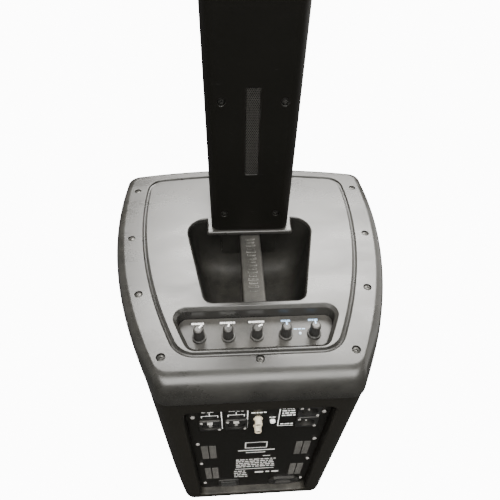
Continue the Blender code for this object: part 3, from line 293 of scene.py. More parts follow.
def arc(centre: Point2, radius: float, start: float, end: float, steps: int) -> list[Point2]:
    """Points along an arc, both ends included.

    Args:
        centre: The arc's centre.
        radius: Its radius.
        start: Angle of its first point, in radians.
        end: Angle of its last point, in radians.
        steps: Number of equal steps.

    Returns:
        One point more than there are steps.
    """
    turns = [start + (end - start) * step / steps for step in range(steps + 1)]
    return [(centre[0] + radius * math.cos(t), centre[1] + radius * math.sin(t)) for t in turns]


def rounded(width: float, depth: float, corner: float, steps: int = 6,
            centre: Point2 = (0.0, 0.0)) -> list[Point2]:
    """Rounded rectangle, counter-clockwise.

    Args:
        width: Size along the first axis.
        depth: Size along the second axis.
        corner: Radius of the corners.
        steps: Steps of each corner.
        centre: Middle of the rectangle.

    Returns:
        Outline points.
    """
    points: list[Point2] = []
    for turn, (sx, sy) in enumerate(((1, 1), (-1, 1), (-1, -1), (1, -1))):
        middle = (centre[0] + sx * (width / 2 - corner), centre[1] + sy * (depth / 2 - corner))
        points += arc(middle, corner, turn * math.pi / 2, (turn + 1) * math.pi / 2, steps)
    return points


def offset(points: list[Point2], grow: float) -> list[Point2]:
    """Counter-clockwise outline moved outward along its normals.

    Args:
        points: The outline.
        grow: How far it moves, negative for inward.

    Returns:
        The moved outline, with the same number of points.
    """
    moved: list[Point2] = []
    count = len(points)
    for i, (x, y) in enumerate(points):
        ax, ay = points[i - 1]
        bx, by = points[(i + 1) % count]
        first = Vector((y - ay, ax - x))
        second = Vector((by - y, x - bx))
        first = first.normalized() if first.length > 1e-9 else second.normalized()
        second = second.normalized() if second.length > 1e-9 else first
        way = (first + second).normalized()
        reach = grow / max(way.dot(first), 0.5)
        moved.append((x + way.x * reach, y + way.y * reach))
    return moved


def at_z(points: list[Point2], z: float) -> Loop:
    """Plan points at a height.

    Args:
        points: Points (x, y).
        z: The height.

    Returns:
        The loop.
    """
    return [(x, y, z) for x, y in points]


def at_y(points: list[Point2], y: float) -> Loop:
    """Elevation points (x, z) at a depth.

    Args:
        points: Points (x, z).
        y: The depth.

    Returns:
        The loop.
    """
    return [(x, y, z) for x, z in points]


def rim(points: list[Point2], top: float, bottom: float, flare: float, steps: int = 6) -> list[Loop]:
    """Loops of a hole whose upper rim is rounded outward, from below the bottom to above the top.

    Args:
        points: Outline of the hole.
        top: Height of the face that it is cut into.
        bottom: Height of its floor.
        flare: Radius of the rounded rim.
        steps: Steps of the rim.

    Returns:
        The loops from bottom to top.
    """
    loops = [at_z(points, bottom)]
    for step in range(steps + 1):
        angle = math.pi / 2 * step / steps
        grow = flare * (1 - math.cos(angle))
        loops.append(at_z(offset(points, grow), top - flare + flare * math.sin(angle)))
    loops.append(at_z(offset(points, flare), top + CLEAR_OF_FACE))
    return loops


# ------------------------------------------------------------------ finishes
class Nodes:
    """Small helper that writes node trees."""

    def __init__(self, tree: bpy.types.NodeTree) -> None:
        """Keep the tree that is written.

        Args:
            tree: The node tree.
        """
        self.tree = tree

    def add(self, kind: str, **values: object) -> bpy.types.Node:
        """Add a node and set its properties."""
        node = self.tree.nodes.new(kind)
        for key, value in values.items():
            setattr(node, key, value)
        return node

    def link(self, source: bpy.types.NodeSocket, target: bpy.types.NodeSocket) -> None:
        """Join two sockets.

        Args:
            source: The output.
            target: The input.
        """
        self.tree.links.new(source, target)

    def feed(self, value: object, target: bpy.types.NodeSocket) -> None:
        """Link a socket or set a constant.

        Args:
            value: An output, or a plain value.
            target: The input.
        """
        if isinstance(value, bpy.types.NodeSocket):
            self.link(value, target)
        else:
            target.default_value = value

    def math(self, how: str, first: object, second: object = 0.0,
             clamp: bool = False) -> bpy.types.NodeSocket:
        """One arithmetic step.

        Args:
            how: The node's operation.
            first: First operand.
            second: Second operand.
            clamp: Whether the result is kept between 0 and 1.

        Returns:
            The result.
        """
        node = self.add("ShaderNodeMath", operation=how, use_clamp=clamp)
        self.feed(first, node.inputs[0])
        self.feed(second, node.inputs[1])
        return node.outputs[0]

    def noise(self, vector: bpy.types.NodeSocket, scale: object, detail: float = 4.0,
              rough: float = 0.55) -> bpy.types.NodeSocket:
        """One noise value.

        Args:
            vector: Where it is read.
            scale: Fineness of the noise.
            detail: Number of octaves.
            rough: Share of each finer octave.

        Returns:
            The value, about 0 to 1.
        """
        node = self.add("ShaderNodeTexNoise")
        node.inputs["Detail"].default_value = detail
        node.inputs["Roughness"].default_value = rough
        self.link(vector, node.inputs["Vector"])
        self.feed(scale, node.inputs["Scale"])
        return node.outputs["Fac"]

    def ramp(self, value: bpy.types.NodeSocket, low: float, high: float) -> bpy.types.NodeSocket:
        """Stretch a value between two limits to the range from 0 to 1.

        Args:
            value: The value.
            low: Limit that becomes 0.
            high: Limit that becomes 1.

        Returns:
            The stretched value.
        """
        node = self.add("ShaderNodeMapRange", clamp=True)
        self.link(value, node.inputs["Value"])
        node.inputs["From Min"].default_value = low
        node.inputs["From Max"].default_value = high
        return node.outputs["Result"]

    def blend(self, mask: object, first: object, second: object) -> bpy.types.NodeSocket:
        """Blend two colours by a mask.

        Args:
            mask: Share of the second colour.
            first: First colour.
            second: Second colour.

        Returns:
            The blended colour.
        """
        node = self.add("ShaderNodeMix", data_type="RGBA")
        self.feed(mask, node.inputs["Factor"])
        self.feed(first, node.inputs["A"])
        self.feed(second, node.inputs["B"])
        return next(s for s in node.outputs if s.type == "RGBA")


def new_group(name: str, values: dict[str, float], outputs: list[str]) -> tuple[bpy.types.NodeTree, Nodes,
                                                                             bpy.types.Node, bpy.types.Node]:
    """Make an empty shader group with named value inputs and outputs.

    Args:
        name: Name of the group.
        values: Inputs and their defaults.
        outputs: Names of the outputs.

    Returns:
        The group, its node writer, its input node and its output node.
    """
    group = bpy.data.node_groups.new(name, "ShaderNodeTree")
    for key, value in values.items():
        socket = group.interface.new_socket(name=key, in_out="INPUT", socket_type="NodeSocketFloat")
        socket.default_value = value
    for key in outputs:
        group.interface.new_socket(name=key, in_out="OUTPUT", socket_type="NodeSocketFloat")
    writer = Nodes(group)
    return group, writer, writer.add("NodeGroupInput"), writer.add("NodeGroupOutput")


def grain_group() -> bpy.types.NodeTree:
    """Fine pebble and slow drift of a moulded or painted surface."""
    group, n, inner, outer = new_group("Surface Grain", {"Scale": 900.0, "Drift Scale": 9.0},
                                       ["Height", "Drift", "Speckle"])
    place = n.add("ShaderNodeTexCoord").outputs["Object"]
    fine = n.noise(place, inner.outputs["Scale"], 3.0, 0.6)
    cell = n.add("ShaderNodeTexVoronoi", feature="F1")
    n.link(place, cell.inputs["Vector"])
    n.link(inner.outputs["Scale"], cell.inputs["Scale"])
    height = n.math("MULTIPLY", fine, n.math("SUBTRACT", 1.0, n.math("MULTIPLY", cell.outputs["Distance"],
                                                                     0.6)))
    n.link(height, outer.inputs["Height"])
    n.link(n.noise(place, inner.outputs["Drift Scale"], 5.0, 0.6), outer.inputs["Drift"])
    speck = n.noise(place, n.math("MULTIPLY", inner.outputs["Scale"], 0.35), 2.0)
    n.link(n.ramp(speck, 0.66, 0.74), outer.inputs["Speckle"])
    return group


def wear_group() -> bpy.types.NodeTree:
    """Rubbed edges and fine scratches."""
    group, n, inner, outer = new_group("Edge Wear", {"Amount": 0.5, "Radius": 0.0012, "Scratch": 0.3},
                                       ["Wear", "Scratches"])
    place = n.add("ShaderNodeTexCoord").outputs["Object"]
    edge = n.add("ShaderNodeBevel", samples=4)
    n.link(inner.outputs["Radius"], edge.inputs["Radius"])
    shape = n.add("ShaderNodeNewGeometry")
    dot = n.add("ShaderNodeVectorMath", operation="DOT_PRODUCT")
    n.link(edge.outputs["Normal"], dot.inputs[0])
    n.link(shape.outputs["Normal"], dot.inputs[1])
    turn = n.math("SUBTRACT", 1.0, dot.outputs["Value"])
    broken = n.ramp(n.noise(place, 60.0, 6.0, 0.7), 0.42, 0.62)
    edges = n.math("MULTIPLY", n.math("MULTIPLY", turn, 6.0, True), broken)
    n.link(n.math("MULTIPLY", edges, inner.outputs["Amount"], True), outer.inputs["Wear"])
    stretch = n.add("ShaderNodeMapping")
    stretch.inputs["Scale"].default_value = (1.0, 14.0, 6.0)
    stretch.inputs["Rotation"].default_value = (0.2, 0.4, 0.9)
    n.link(place, stretch.inputs["Vector"])
    lines = n.ramp(n.noise(stretch.outputs["Vector"], 55.0, 3.0, 0.6), 0.70, 0.78)
    n.link(n.math("MULTIPLY", lines, inner.outputs["Scratch"], True), outer.inputs["Scratches"])
    return group


def dust_group() -> bpy.types.NodeTree:
    """Settled dust on faces that look up, heavier in soft patches."""
    group, n, inner, outer = new_group("Settled Dust", {"Amount": 0.3, "Scale": 30.0}, ["Dust"])
    place = n.add("ShaderNodeTexCoord").outputs["Object"]
    parts = n.add("ShaderNodeSeparateXYZ")
    n.link(n.add("ShaderNodeNewGeometry").outputs["Normal"], parts.inputs[0])
    up = n.ramp(parts.outputs["Z"], 0.1, 0.95)
    soft = n.ramp(n.noise(place, inner.outputs["Scale"], 8.0, 0.65), 0.35, 0.75)
    fine = n.ramp(n.noise(place, n.math("MULTIPLY", inner.outputs["Scale"], 40.0), 2.0), 0.5, 0.7)
    both = n.math("MULTIPLY", up, n.math("ADD", n.math("MULTIPLY", soft, 0.6),
                                         n.math("MULTIPLY", fine, 0.4)))
    n.link(n.math("MULTIPLY", both, inner.outputs["Amount"], True), outer.inputs["Dust"])
    return group


def perforation_group() -> bpy.types.NodeTree:
    """Staggered round holes over a face that stands in the XZ plane."""
    group, n, inner, outer = new_group("Perforation", {"Pitch": 0.0023, "Hole": 0.0008}, ["Hole"])
    parts = n.add("ShaderNodeSeparateXYZ")
    n.link(n.add("ShaderNodeTexCoord").outputs["Object"], parts.inputs[0])
    pitch = inner.outputs["Pitch"]
    tall = n.math("MULTIPLY", pitch, 1.732)
    found = []
    for shift in (0.0, 0.5):
        u = n.math("FRACT", n.math("ADD", n.math("DIVIDE", parts.outputs["X"], pitch), 100.0 + shift))
        v = n.math("FRACT", n.math("ADD", n.math("DIVIDE", parts.outputs["Z"], tall), 100.0 + shift))
        du = n.math("MULTIPLY", n.math("SUBTRACT", u, 0.5), pitch)
        dv = n.math("MULTIPLY", n.math("SUBTRACT", v, 0.5), tall)
        squares = n.math("ADD", n.math("MULTIPLY", du, du), n.math("MULTIPLY", dv, dv))
        found.append(n.math("SQRT", squares))
    nearest = n.math("MINIMUM", found[0], found[1])
    n.link(n.math("LESS_THAN", nearest, inner.outputs["Hole"]), outer.inputs["Hole"])
    return group


def smudge_group() -> bpy.types.NodeTree:
    """Wiped patches and hand marks, broad and soft."""
    group, n, inner, outer = new_group("Hand Smudges", {"Amount": 0.5, "Scale": 11.0}, ["Smudge"])
    place = n.add("ShaderNodeTexCoord").outputs["Object"]
    stretch = n.add("ShaderNodeMapping")
    stretch.inputs["Scale"].default_value = (1.0, 2.6, 1.0)
    stretch.inputs["Rotation"].default_value = (0.0, 0.0, 0.6)
    n.link(place, stretch.inputs["Vector"])
    broad = n.ramp(n.noise(stretch.outputs["Vector"], inner.outputs["Scale"], 6.0, 0.6), 0.40, 0.72)
    spots = n.ramp(n.noise(place, n.math("MULTIPLY", inner.outputs["Scale"], 6.0), 3.0, 0.6), 0.58, 0.70)
    both = n.math("MAXIMUM", broad, n.math("MULTIPLY", spots, 0.3))
    n.link(n.math("MULTIPLY", both, inner.outputs["Amount"], True), outer.inputs["Smudge"])
    return group


GROUPS = {"grain": grain_group(), "wear": wear_group(), "dust": dust_group(), "holes": perforation_group(),
          "smudge": smudge_group()}
Colour = tuple[float, float, float]


@dataclass(frozen=True)
class Finish:
    """One surface finish, made of a base, grain, wear and dust."""

    name: str
    colour: Colour
    roughness: float
    metallic: float = 0.0
    worn: Colour = (0.12, 0.12, 0.115)
    wear: float = 0.4
    scratch: float = 0.15
    dust: float = 0.25
    dust_colour: Colour = (0.33, 0.31, 0.27)
    grain: float = 900.0
    bump: float = 0.15
    bump_depth: float = 0.0001
    spread: float = 0.12
    coat: float = 0.0
    specular: float = 0.5
    holes: tuple[float, float] | None = None
    # Emission strength: on the print finishes this is painted light, a glow that no lamp gives.
    glow: float = 0.0
    smudge: float = 0.0

    def make(self) -> bpy.types.Material:
        """Write the material's nodes.

        Returns:
            The finished material.
        """
        made = bpy.data.materials.new(self.name)
        made.use_nodes = True
        tree = made.node_tree
        n = Nodes(tree)
        shader = tree.nodes["Principled BSDF"]
        grain = n.add("ShaderNodeGroup", node_tree=GROUPS["grain"])
        grain.inputs["Scale"].default_value = self.grain
        wear = n.add("ShaderNodeGroup", node_tree=GROUPS["wear"])
        wear.inputs["Amount"].default_value = self.wear
        wear.inputs["Scratch"].default_value = self.scratch
        dust = n.add("ShaderNodeGroup", node_tree=GROUPS["dust"])
        dust.inputs["Amount"].default_value = self.dust
        base = (*self.colour, 1.0)
        darker = (*[c * 0.72 for c in self.colour], 1.0)
        colour = n.blend(grain.outputs["Drift"], darker, (*[c * 1.22 for c in self.colour], 1.0))
        colour = n.blend(n.math("MULTIPLY", grain.outputs["Speckle"], 0.35), colour, base)
        marks = n.math("MAXIMUM", wear.outputs["Wear"], wear.outputs["Scratches"])
        colour = n.blend(marks, colour, (*self.worn, 1.0))
        colour = n.blend(dust.outputs["Dust"], colour, (*self.dust_colour, 1.0))
        rough = n.math("ADD", self.roughness - self.spread / 2, n.math("MULTIPLY", grain.outputs["Drift"],
                                                                       self.spread))
        rough = n.math("ADD", rough, n.math("MULTIPLY", dust.outputs["Dust"], 0.3), True)
        height = grain.outputs["Height"]
        if self.smudge:
            smudge = n.add("ShaderNodeGroup", node_tree=GROUPS["smudge"])
            smudge.inputs["Amount"].default_value = self.smudge
            rough = n.math("ADD", rough, n.math("MULTIPLY", smudge.outputs["Smudge"], 0.13), True)
            pale = (*[c * 2.4 for c in self.colour], 1.0)
            colour = n.blend(smudge.outputs["Smudge"], colour, pale)
        if self.holes:
            holes = n.add("ShaderNodeGroup", node_tree=GROUPS["holes"])
            holes.inputs["Pitch"].default_value = self.holes[0]
            holes.inputs["Hole"].default_value = self.holes[1]
            # Painted shade: each hole is coloured near-black for the shadow inside an open hole; the hole
            # pattern itself is real.
            colour = n.blend(holes.outputs["Hole"], colour, (0.001, 0.001, 0.001, 1.0))
            rough = n.math("MAXIMUM", rough, holes.outputs["Hole"])
            height = n.math("SUBTRACT", height, n.math("MULTIPLY", holes.outputs["Hole"], 3.0))
        bump = n.add("ShaderNodeBump")
        bump.inputs["Strength"].default_value = self.bump
        bump.inputs["Distance"].default_value = self.bump_depth
        n.link(height, bump.inputs["Height"])
        n.link(bump.outputs["Normal"], shader.inputs["Normal"])
        n.link(colour, shader.inputs["Base Color"])
        n.link(rough, shader.inputs["Roughness"])
        shader.inputs["Metallic"].default_value = self.metallic
        shader.inputs["Specular IOR Level"].default_value = self.specular
        shader.inputs["Coat Weight"].default_value = self.coat
        # Emission: on the print finishes this is painted light that makes the print read brighter than the
        # lamps make it; on the status lens it makes the lens glow faintly.
        if self.glow:
            n.link(colour, shader.inputs["Emission Color"])
            shader.inputs["Emission Strength"].default_value = self.glow
        return made


class Look(Enum):
    """Finishes of the object."""

    CAP = Finish("cap_satin", (0.0125, 0.0123, 0.0113), 0.25, wear=0.12, dust=0.07, grain=1500.0, bump=0.10,
                 smudge=0.9)
    SHELL = Finish("shell_texture", (0.0100, 0.0092, 0.0072), 0.52, wear=0.5, dust=0.22, grain=1100.0,
                   bump=0.35, bump_depth=0.0002, specular=0.3)
    LINER = Finish("liner_satin", (0.0105, 0.0102, 0.0092), 0.46, wear=0.2, dust=0.20, grain=1100.0, bump=0.2,
                   smudge=0.9, specular=0.18)
    GRIP = Finish("grip_grey", (0.026, 0.0255, 0.0235), 0.50, wear=1.0, dust=0.15, worn=(0.30, 0.30, 0.28),
                  specular=0.3)
    COLUMN = Finish("column_satin", (0.0045, 0.0042, 0.0034), 0.46, wear=0.3, dust=0.02, grain=1300.0,
                    bump=0.2, specular=0.25)
    MIXER = Finish("mixer_panel", (0.024, 0.0235, 0.0215), 0.40, wear=0.1, dust=0.20, grain=1300.0, bump=0.12,
                   specular=0.5)
    PLATE = Finish("rear_plate", (0.0065, 0.0062, 0.0052), 0.50, wear=0.25, dust=0.05, grain=1500.0,
                   bump=0.25, specular=0.25)
    JACK = Finish("jack_plastic", (0.010, 0.010, 0.0095), 0.38, wear=0.25, dust=0.12, grain=1600.0)
    KNOB = Finish("knob_rubber", (0.018, 0.0178, 0.0170), 0.36, wear=0.4, dust=0.18, grain=1700.0, bump=0.2)
    # Painted light: the white print glows, so it reads brighter than the lamps light it.
    WHITE = Finish("print_white", (0.85, 0.85, 0.83), 0.5, wear=0.0, dust=0.0, scratch=0.05, bump=0.02,
                   glow=0.7)
    # Painted light: the blue print glows as well.
    BLUE = Finish("print_blue", (0.38, 0.58, 0.85), 0.5, wear=0.0, dust=0.0, scratch=0.05, bump=0.02,
                  glow=0.35)
    DIM = Finish("print_dim", (0.80, 0.80, 0.78), 0.5, wear=0.0, dust=0.0, scratch=0.05, bump=0.02)
    STEEL = Finish("screw_steel", (0.40, 0.39, 0.37), 0.40, 0.35, worn=(0.7, 0.7, 0.68), wear=0.3,
                   dust=0.03)
    BLACK_STEEL = Finish("screw_black", (0.03, 0.03, 0.028), 0.38, 0.6, worn=(0.35, 0.34, 0.32), wear=0.6,
                         dust=0.1)
    GOLD = Finish("contact_gold", (0.86, 0.76, 0.58), 0.32, 0.3, wear=0.1, dust=0.03, bump=0.03)
    RUBBER = Finish("rubber", (0.013, 0.013, 0.012), 0.82, wear=0.1, dust=0.2, grain=900.0, bump=0.3)
    PAPER = Finish("cone_paper", (0.012, 0.012, 0.0115), 0.72, wear=0.0, dust=0.1, grain=500.0, bump=0.5)
    MESH = Finish("grille_mesh", (0.014, 0.014, 0.014), 0.42, 0.5, wear=0.2, dust=0.08,
                  holes=(0.0040, 0.0014), bump=0.6, bump_depth=0.0004)
    VENT = Finish("vent_mesh", (0.030, 0.029, 0.026), 0.42, 0.2, wear=0.0, dust=0.0,
                  holes=(0.00215, 0.00068), bump=0.6, bump_depth=0.0003)
    BOARD = Finish("black_board", (0.011, 0.011, 0.011), 0.75, wear=0.1, dust=0.1, grain=300.0, bump=0.4)
    CIRCUIT = Finish("circuit_board", (0.015, 0.10, 0.045), 0.4, wear=0.0, dust=0.1, grain=400.0)
    ALUMINIUM = Finish("aluminium", (0.55, 0.55, 0.54), 0.36, 1.0, worn=(0.7, 0.7, 0.7), wear=0.2,
                       dust=0.05)
    MAGNET = Finish("magnet_iron", (0.04, 0.04, 0.042), 0.5, 0.5, wear=0.3, dust=0.1)
    SLAT = Finish("vent_slat", (0.036, 0.035, 0.032), 0.5, wear=0.2, dust=0.15, grain=1500.0)
    PADDLE = Finish("rocker_gloss", (0.030, 0.030, 0.029), 0.22, wear=0.3, dust=0.15, grain=1500.0)
    CREAM = Finish("contact_guard", (0.62, 0.52, 0.30), 0.5, wear=0.1, dust=0.1, grain=1500.0)
    LENS = Finish("status_lens", (0.55, 0.68, 0.80), 0.15, wear=0.0, dust=0.0, scratch=0.0, bump=0.0,
                  glow=0.25)


class Palette:
    """Makes each finish once."""

    def __init__(self) -> None:
        """Start with no finish made."""
        self.made: dict[Look, bpy.types.Material] = {}

    def of(self, look: Look) -> bpy.types.Material:
        """Material of a look."""
        if look not in self.made:
            self.made[look] = look.value.make()
        return self.made[look]

    def dress(self, obj: bpy.types.Object, look: Look) -> None:
        """Give an object one material.

        Args:
            obj: The object.
            look: The finish.
        """
        obj.data.materials.clear()
        obj.data.materials.append(self.of(look))


PALETTE = Palette()


def settle(obj: bpy.types.Object, look: Look | None, body: Body | str,
           nodes: tuple[str, ...] = (), angle: float = 38.0) -> bpy.types.Object:
    """Finish a piece: shade it, dress it, and tie it to a body.

    Args:
        obj: The piece.
        look: Its finish, or None when it is dressed already.
        body: The body it moves with.
        nodes: CAD nodes that it stands for.
        angle: Sharpest angle that is shaded smooth.

    Returns:
        The piece.
    """
    smooth(obj, angle)
    if look is not None:
        PALETTE.dress(obj, look)
    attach(obj, body.value if isinstance(body, Body) else body)
    if nodes:
        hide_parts(*nodes)
    LOG.info("made %s", obj.name)
    return obj


# ------------------------------------------------------------------ shared plan
@dataclass(frozen=True)
class Plan:
    """Plan of the cabinet: bowed sides, a bowed front and a straight rear."""

    front: float = -0.184
    rear: float = 0.184
    half: float = 0.180
    rear_half: float = 0.103
    widest: float = -0.107
    bow: float = 0.890
    top: float = 0.383
    seam: float = 0.357
    floor: float = 0.010

    @property
    def radius(self) -> float:
        """Radius of the bowed sides."""
        drop = self.half - self.rear_half
        return ((self.rear - self.widest) ** 2 + drop ** 2) / (2 * drop)

    def side_x(self, y: float, inset: float) -> float:
        """Half width at y, moved in by inset.

        Args:
            y: Where the width is taken.
            inset: How far the side moves in.

        Returns:
            The half width.
        """
        return self.half - self.radius + math.sqrt((self.radius - inset) ** 2 - (y - self.widest) ** 2)

    def band(self, inset: float, front: float, rear: float, front_corner: float, rear_corner: float,
             bowed: bool = True) -> list[Point2]:
        """Plan outline between the bowed sides, counter-clockwise from the middle of the front.

        Args:
            inset: How far the sides move in.
            front: Where the middle of the front is.
            rear: Where the rear is.
            front_corner: Radius of the front corners.
            rear_corner: Radius of the rear corners.
            bowed: Whether the front is bowed or straight.

        Returns:
            Outline points, always the same number.
        """
        middle = (self.half - self.radius, self.widest)
        reach = self.radius - inset
        rear_y = rear - rear_corner
        rear_c = (middle[0] + math.sqrt((reach - rear_corner) ** 2 - (rear_y - self.widest) ** 2), rear_y)
        bow_y = self.front + self.bow
        bow_reach = bow_y - front
        y = front + front_corner
        x = 0.0
        for _ in range(40):
            x = middle[0] + math.sqrt((reach - front_corner) ** 2 - (y - self.widest) ** 2)
            if bowed:
                y = bow_y - math.sqrt((bow_reach - front_corner) ** 2 - x ** 2)
        start = math.atan2(y - bow_y, x) if bowed else -math.pi / 2
        half: list[Point2] = []
        if bowed:
            half += arc((0.0, bow_y), bow_reach, -math.pi / 2, start, 14)
        else:
            half += [(x * step / 14, front) for step in range(15)]
        side_start = math.atan2(y - middle[1], x - middle[0])
        side_end = math.atan2(rear_c[1] - middle[1], rear_c[0] - middle[0])
        half += arc((x, y), front_corner, start, side_start, 10)[1:]
        half += arc(middle, reach, side_start, side_end, 40)[1:]
        half += arc(rear_c, rear_corner, side_end, math.pi / 2, 10)[1:]
        half += [(rear_c[0] * (1 - step / 8), rear) for step in range(1, 8)]
        half.append((0.0, rear))
        return half + [(-px, py) for px, py in reversed(half[1:-1])]


PLAN = Plan()


@dataclass
class Cabinet:
    """Outer shell of the bass cabinet, its front grille and its feet."""

    step: float = 0.001
    wall: float = 0.012
    rear_wall: float = 0.020
    recess_half: float = 0.082
    recess_low: float = 0.025
    recess_high: float = 0.334
    recess_back: float = 0.1699
    recess_corner: float = 0.010
    grille_half: float = 0.156
    foot_radius: float = 0.018
    foot_inset: float = 0.042

    def outline(self, inset: float) -> list[Point2]:
        """Outer outline moved in by inset."""
        corner_front = max(0.015 - inset, 0.002)
        corner_rear = max(0.018 - inset, 0.002)
        return PLAN.band(inset, PLAN.front + inset, PLAN.rear - inset, corner_front, corner_rear)

    def shell(self) -> None:
        """Shell with its front window and rear recess."""
        loops: list[Loop] = []
        low, high = PLAN.floor, PLAN.seam - 0.0003
        for turn in range(5):
            angle = math.pi / 2 * turn / 4
            loops.append(at_z(self.outline(self.step + 0.003 * (1 - math.sin(angle))),
                              low + 0.003 * (1 - math.cos(angle))))
        for turn in range(4):
            angle = math.pi / 2 * turn / 3
            loops.append(at_z(self.outline(self.step + 0.0009 * (1 - math.cos(angle))),
                              high - 0.0009 * (1 - math.sin(angle))))
        body = lofted("shell", loops)
        inner = self.step + self.wall
        cavity = PLAN.band(inner, PLAN.front + inner, PLAN.rear - self.step - self.rear_wall, 0.003, 0.010)
        boolean(body, lofted("cut", [at_z(cavity, 0.022), at_z(cavity, 0.40)]))
        window = rounded(2 * self.grille_half, 0.40, 0.006, 6, (0.0, 0.2245))
        boolean(body, lofted("cut", [at_y(window, -0.25), at_y(window, -0.150)]))
        middle = (self.recess_low + self.recess_high) / 2
        height = self.recess_high - self.recess_low
        recess = rounded(2 * self.recess_half, height, self.recess_corner, 10, (0.0, middle))
        face = PLAN.rear - self.step
        loops = [at_y(recess, self.recess_back)]
        for turn in range(6):
            angle = math.pi / 2 * turn / 5
            loops.append(at_y(offset(recess, 0.0022 * (1 - math.cos(angle))),
                              face - 0.0022 * (1 - math.sin(angle))))
        loops.append(at_y(offset(recess, 0.0022), face + 0.01))
        boolean(body, lofted("cut", loops))
        hole = rounded(2 * self.recess_half - 0.026, height - 0.026, 0.004, 4, (0.0, middle))
        boolean(body, lofted("cut", [at_y(hole, 0.12), at_y(hole, 0.20)]))
        settle(body, Look.SHELL, Body.BASE, ("cabinet_shell",), 32.0)

    def grille(self) -> None:
        """Bowed perforated front grille with folded edges."""
        half = self.grille_half - 0.0008
        bow_y = PLAN.front + PLAN.bow
        outer = PLAN.bow - self.step
        swing = math.asin(half / outer)
        loops: list[Loop] = []
        low, high = 0.0247, PLAN.seam - 0.0012
        for inset, z in ((0.0010, low), (0.0003, low + 0.0003), (0.0, low + 0.001), (0.0, high - 0.001),
                         (0.0003, high - 0.0003), (0.0010, high)):
            front = arc((0.0, bow_y), outer - inset, -math.pi / 2 - swing, -math.pi / 2 + swing, 40)
            back = arc((0.0, bow_y), outer - 0.0016 + inset * 0.5, -math.pi / 2 + swing,
                       -math.pi / 2 - swing, 40)
            loops.append(at_z(front + back, z))
        settle(lofted("front_mesh", loops), Look.MESH, Body.BASE, ("front_grille",))

    def feet(self) -> None:
        """Four rubber feet with a dished underside."""
        r = self.foot_radius
        profile = [(0.0, 0.0035), (0.0035, 0.0035), (0.0045, 0.0008), (0.006, 0.0), (r - 0.003, 0.0),
                   (r - 0.001, 0.0008), (r, 0.003), (r, 0.0085), (r - 0.0008, 0.0097), (0.0, 0.0097)]
        source = spun("foot", profile, 40)
        number = 0
        for y in (PLAN.front + self.foot_inset, PLAN.rear - self.foot_inset):
            for side in (-1, 1):
                number += 1
                x = side * (PLAN.side_x(y, 0.0) - self.foot_inset)
                foot = copied(source, f"rubber_foot_{number}", Matrix.Translation((x, y, 0.0)))
                settle(foot, Look.RUBBER, Body.BASE, (f"foot_{number}",))
        bpy.data.objects.remove(source, do_unlink=True)

    def build(self) -> None:
        """Build every piece of the cabinet."""
        self.shell()
        self.grille()
        self.feet()


@dataclass
class Screw:
    """Cross-head screw made once and copied."""

    radius: float = 0.0042
    dome: float = 0.0012
    cross: float = 0.0045
    slot: float = 0.0009
    source: bpy.types.Object | None = field(default=None)

    def make(self, name: str) -> None:
        """Make the first screw about the origin, its head up."""
        r = self.radius
        rise = self.dome
        profile = [(0.0, -0.0015), (r * 0.86, -0.0015), (r, -0.0004)]
        profile += [(r * math.cos(t), rise * math.sin(t)) for t in (0.15, 0.45, 0.8, 1.15, 1.4)]
        profile.append((0.0, rise))
        head = spun(name, profile, 24)
        half = self.cross / 2
        for turn in range(2):
            bar = slab("cut", (-half, -self.slot / 2, -0.0008), (half, self.slot / 2, 0.004))
            bar.data.transform(Matrix.Rotation(math.pi / 2 * turn, 4, "Z"))
            boolean(head, bar)
        self.source = head

    def at(self, name: str, where: Matrix) -> bpy.types.Object:
        """Copy the screw to a place.

        Args:
            name: Name of the copy.
            where: The placing matrix.

        Returns:
            The copy.
        """
        return copied(self.source, name, where)

    def done(self) -> None:
        """Remove the first screw."""
        bpy.data.objects.remove(self.source, do_unlink=True)


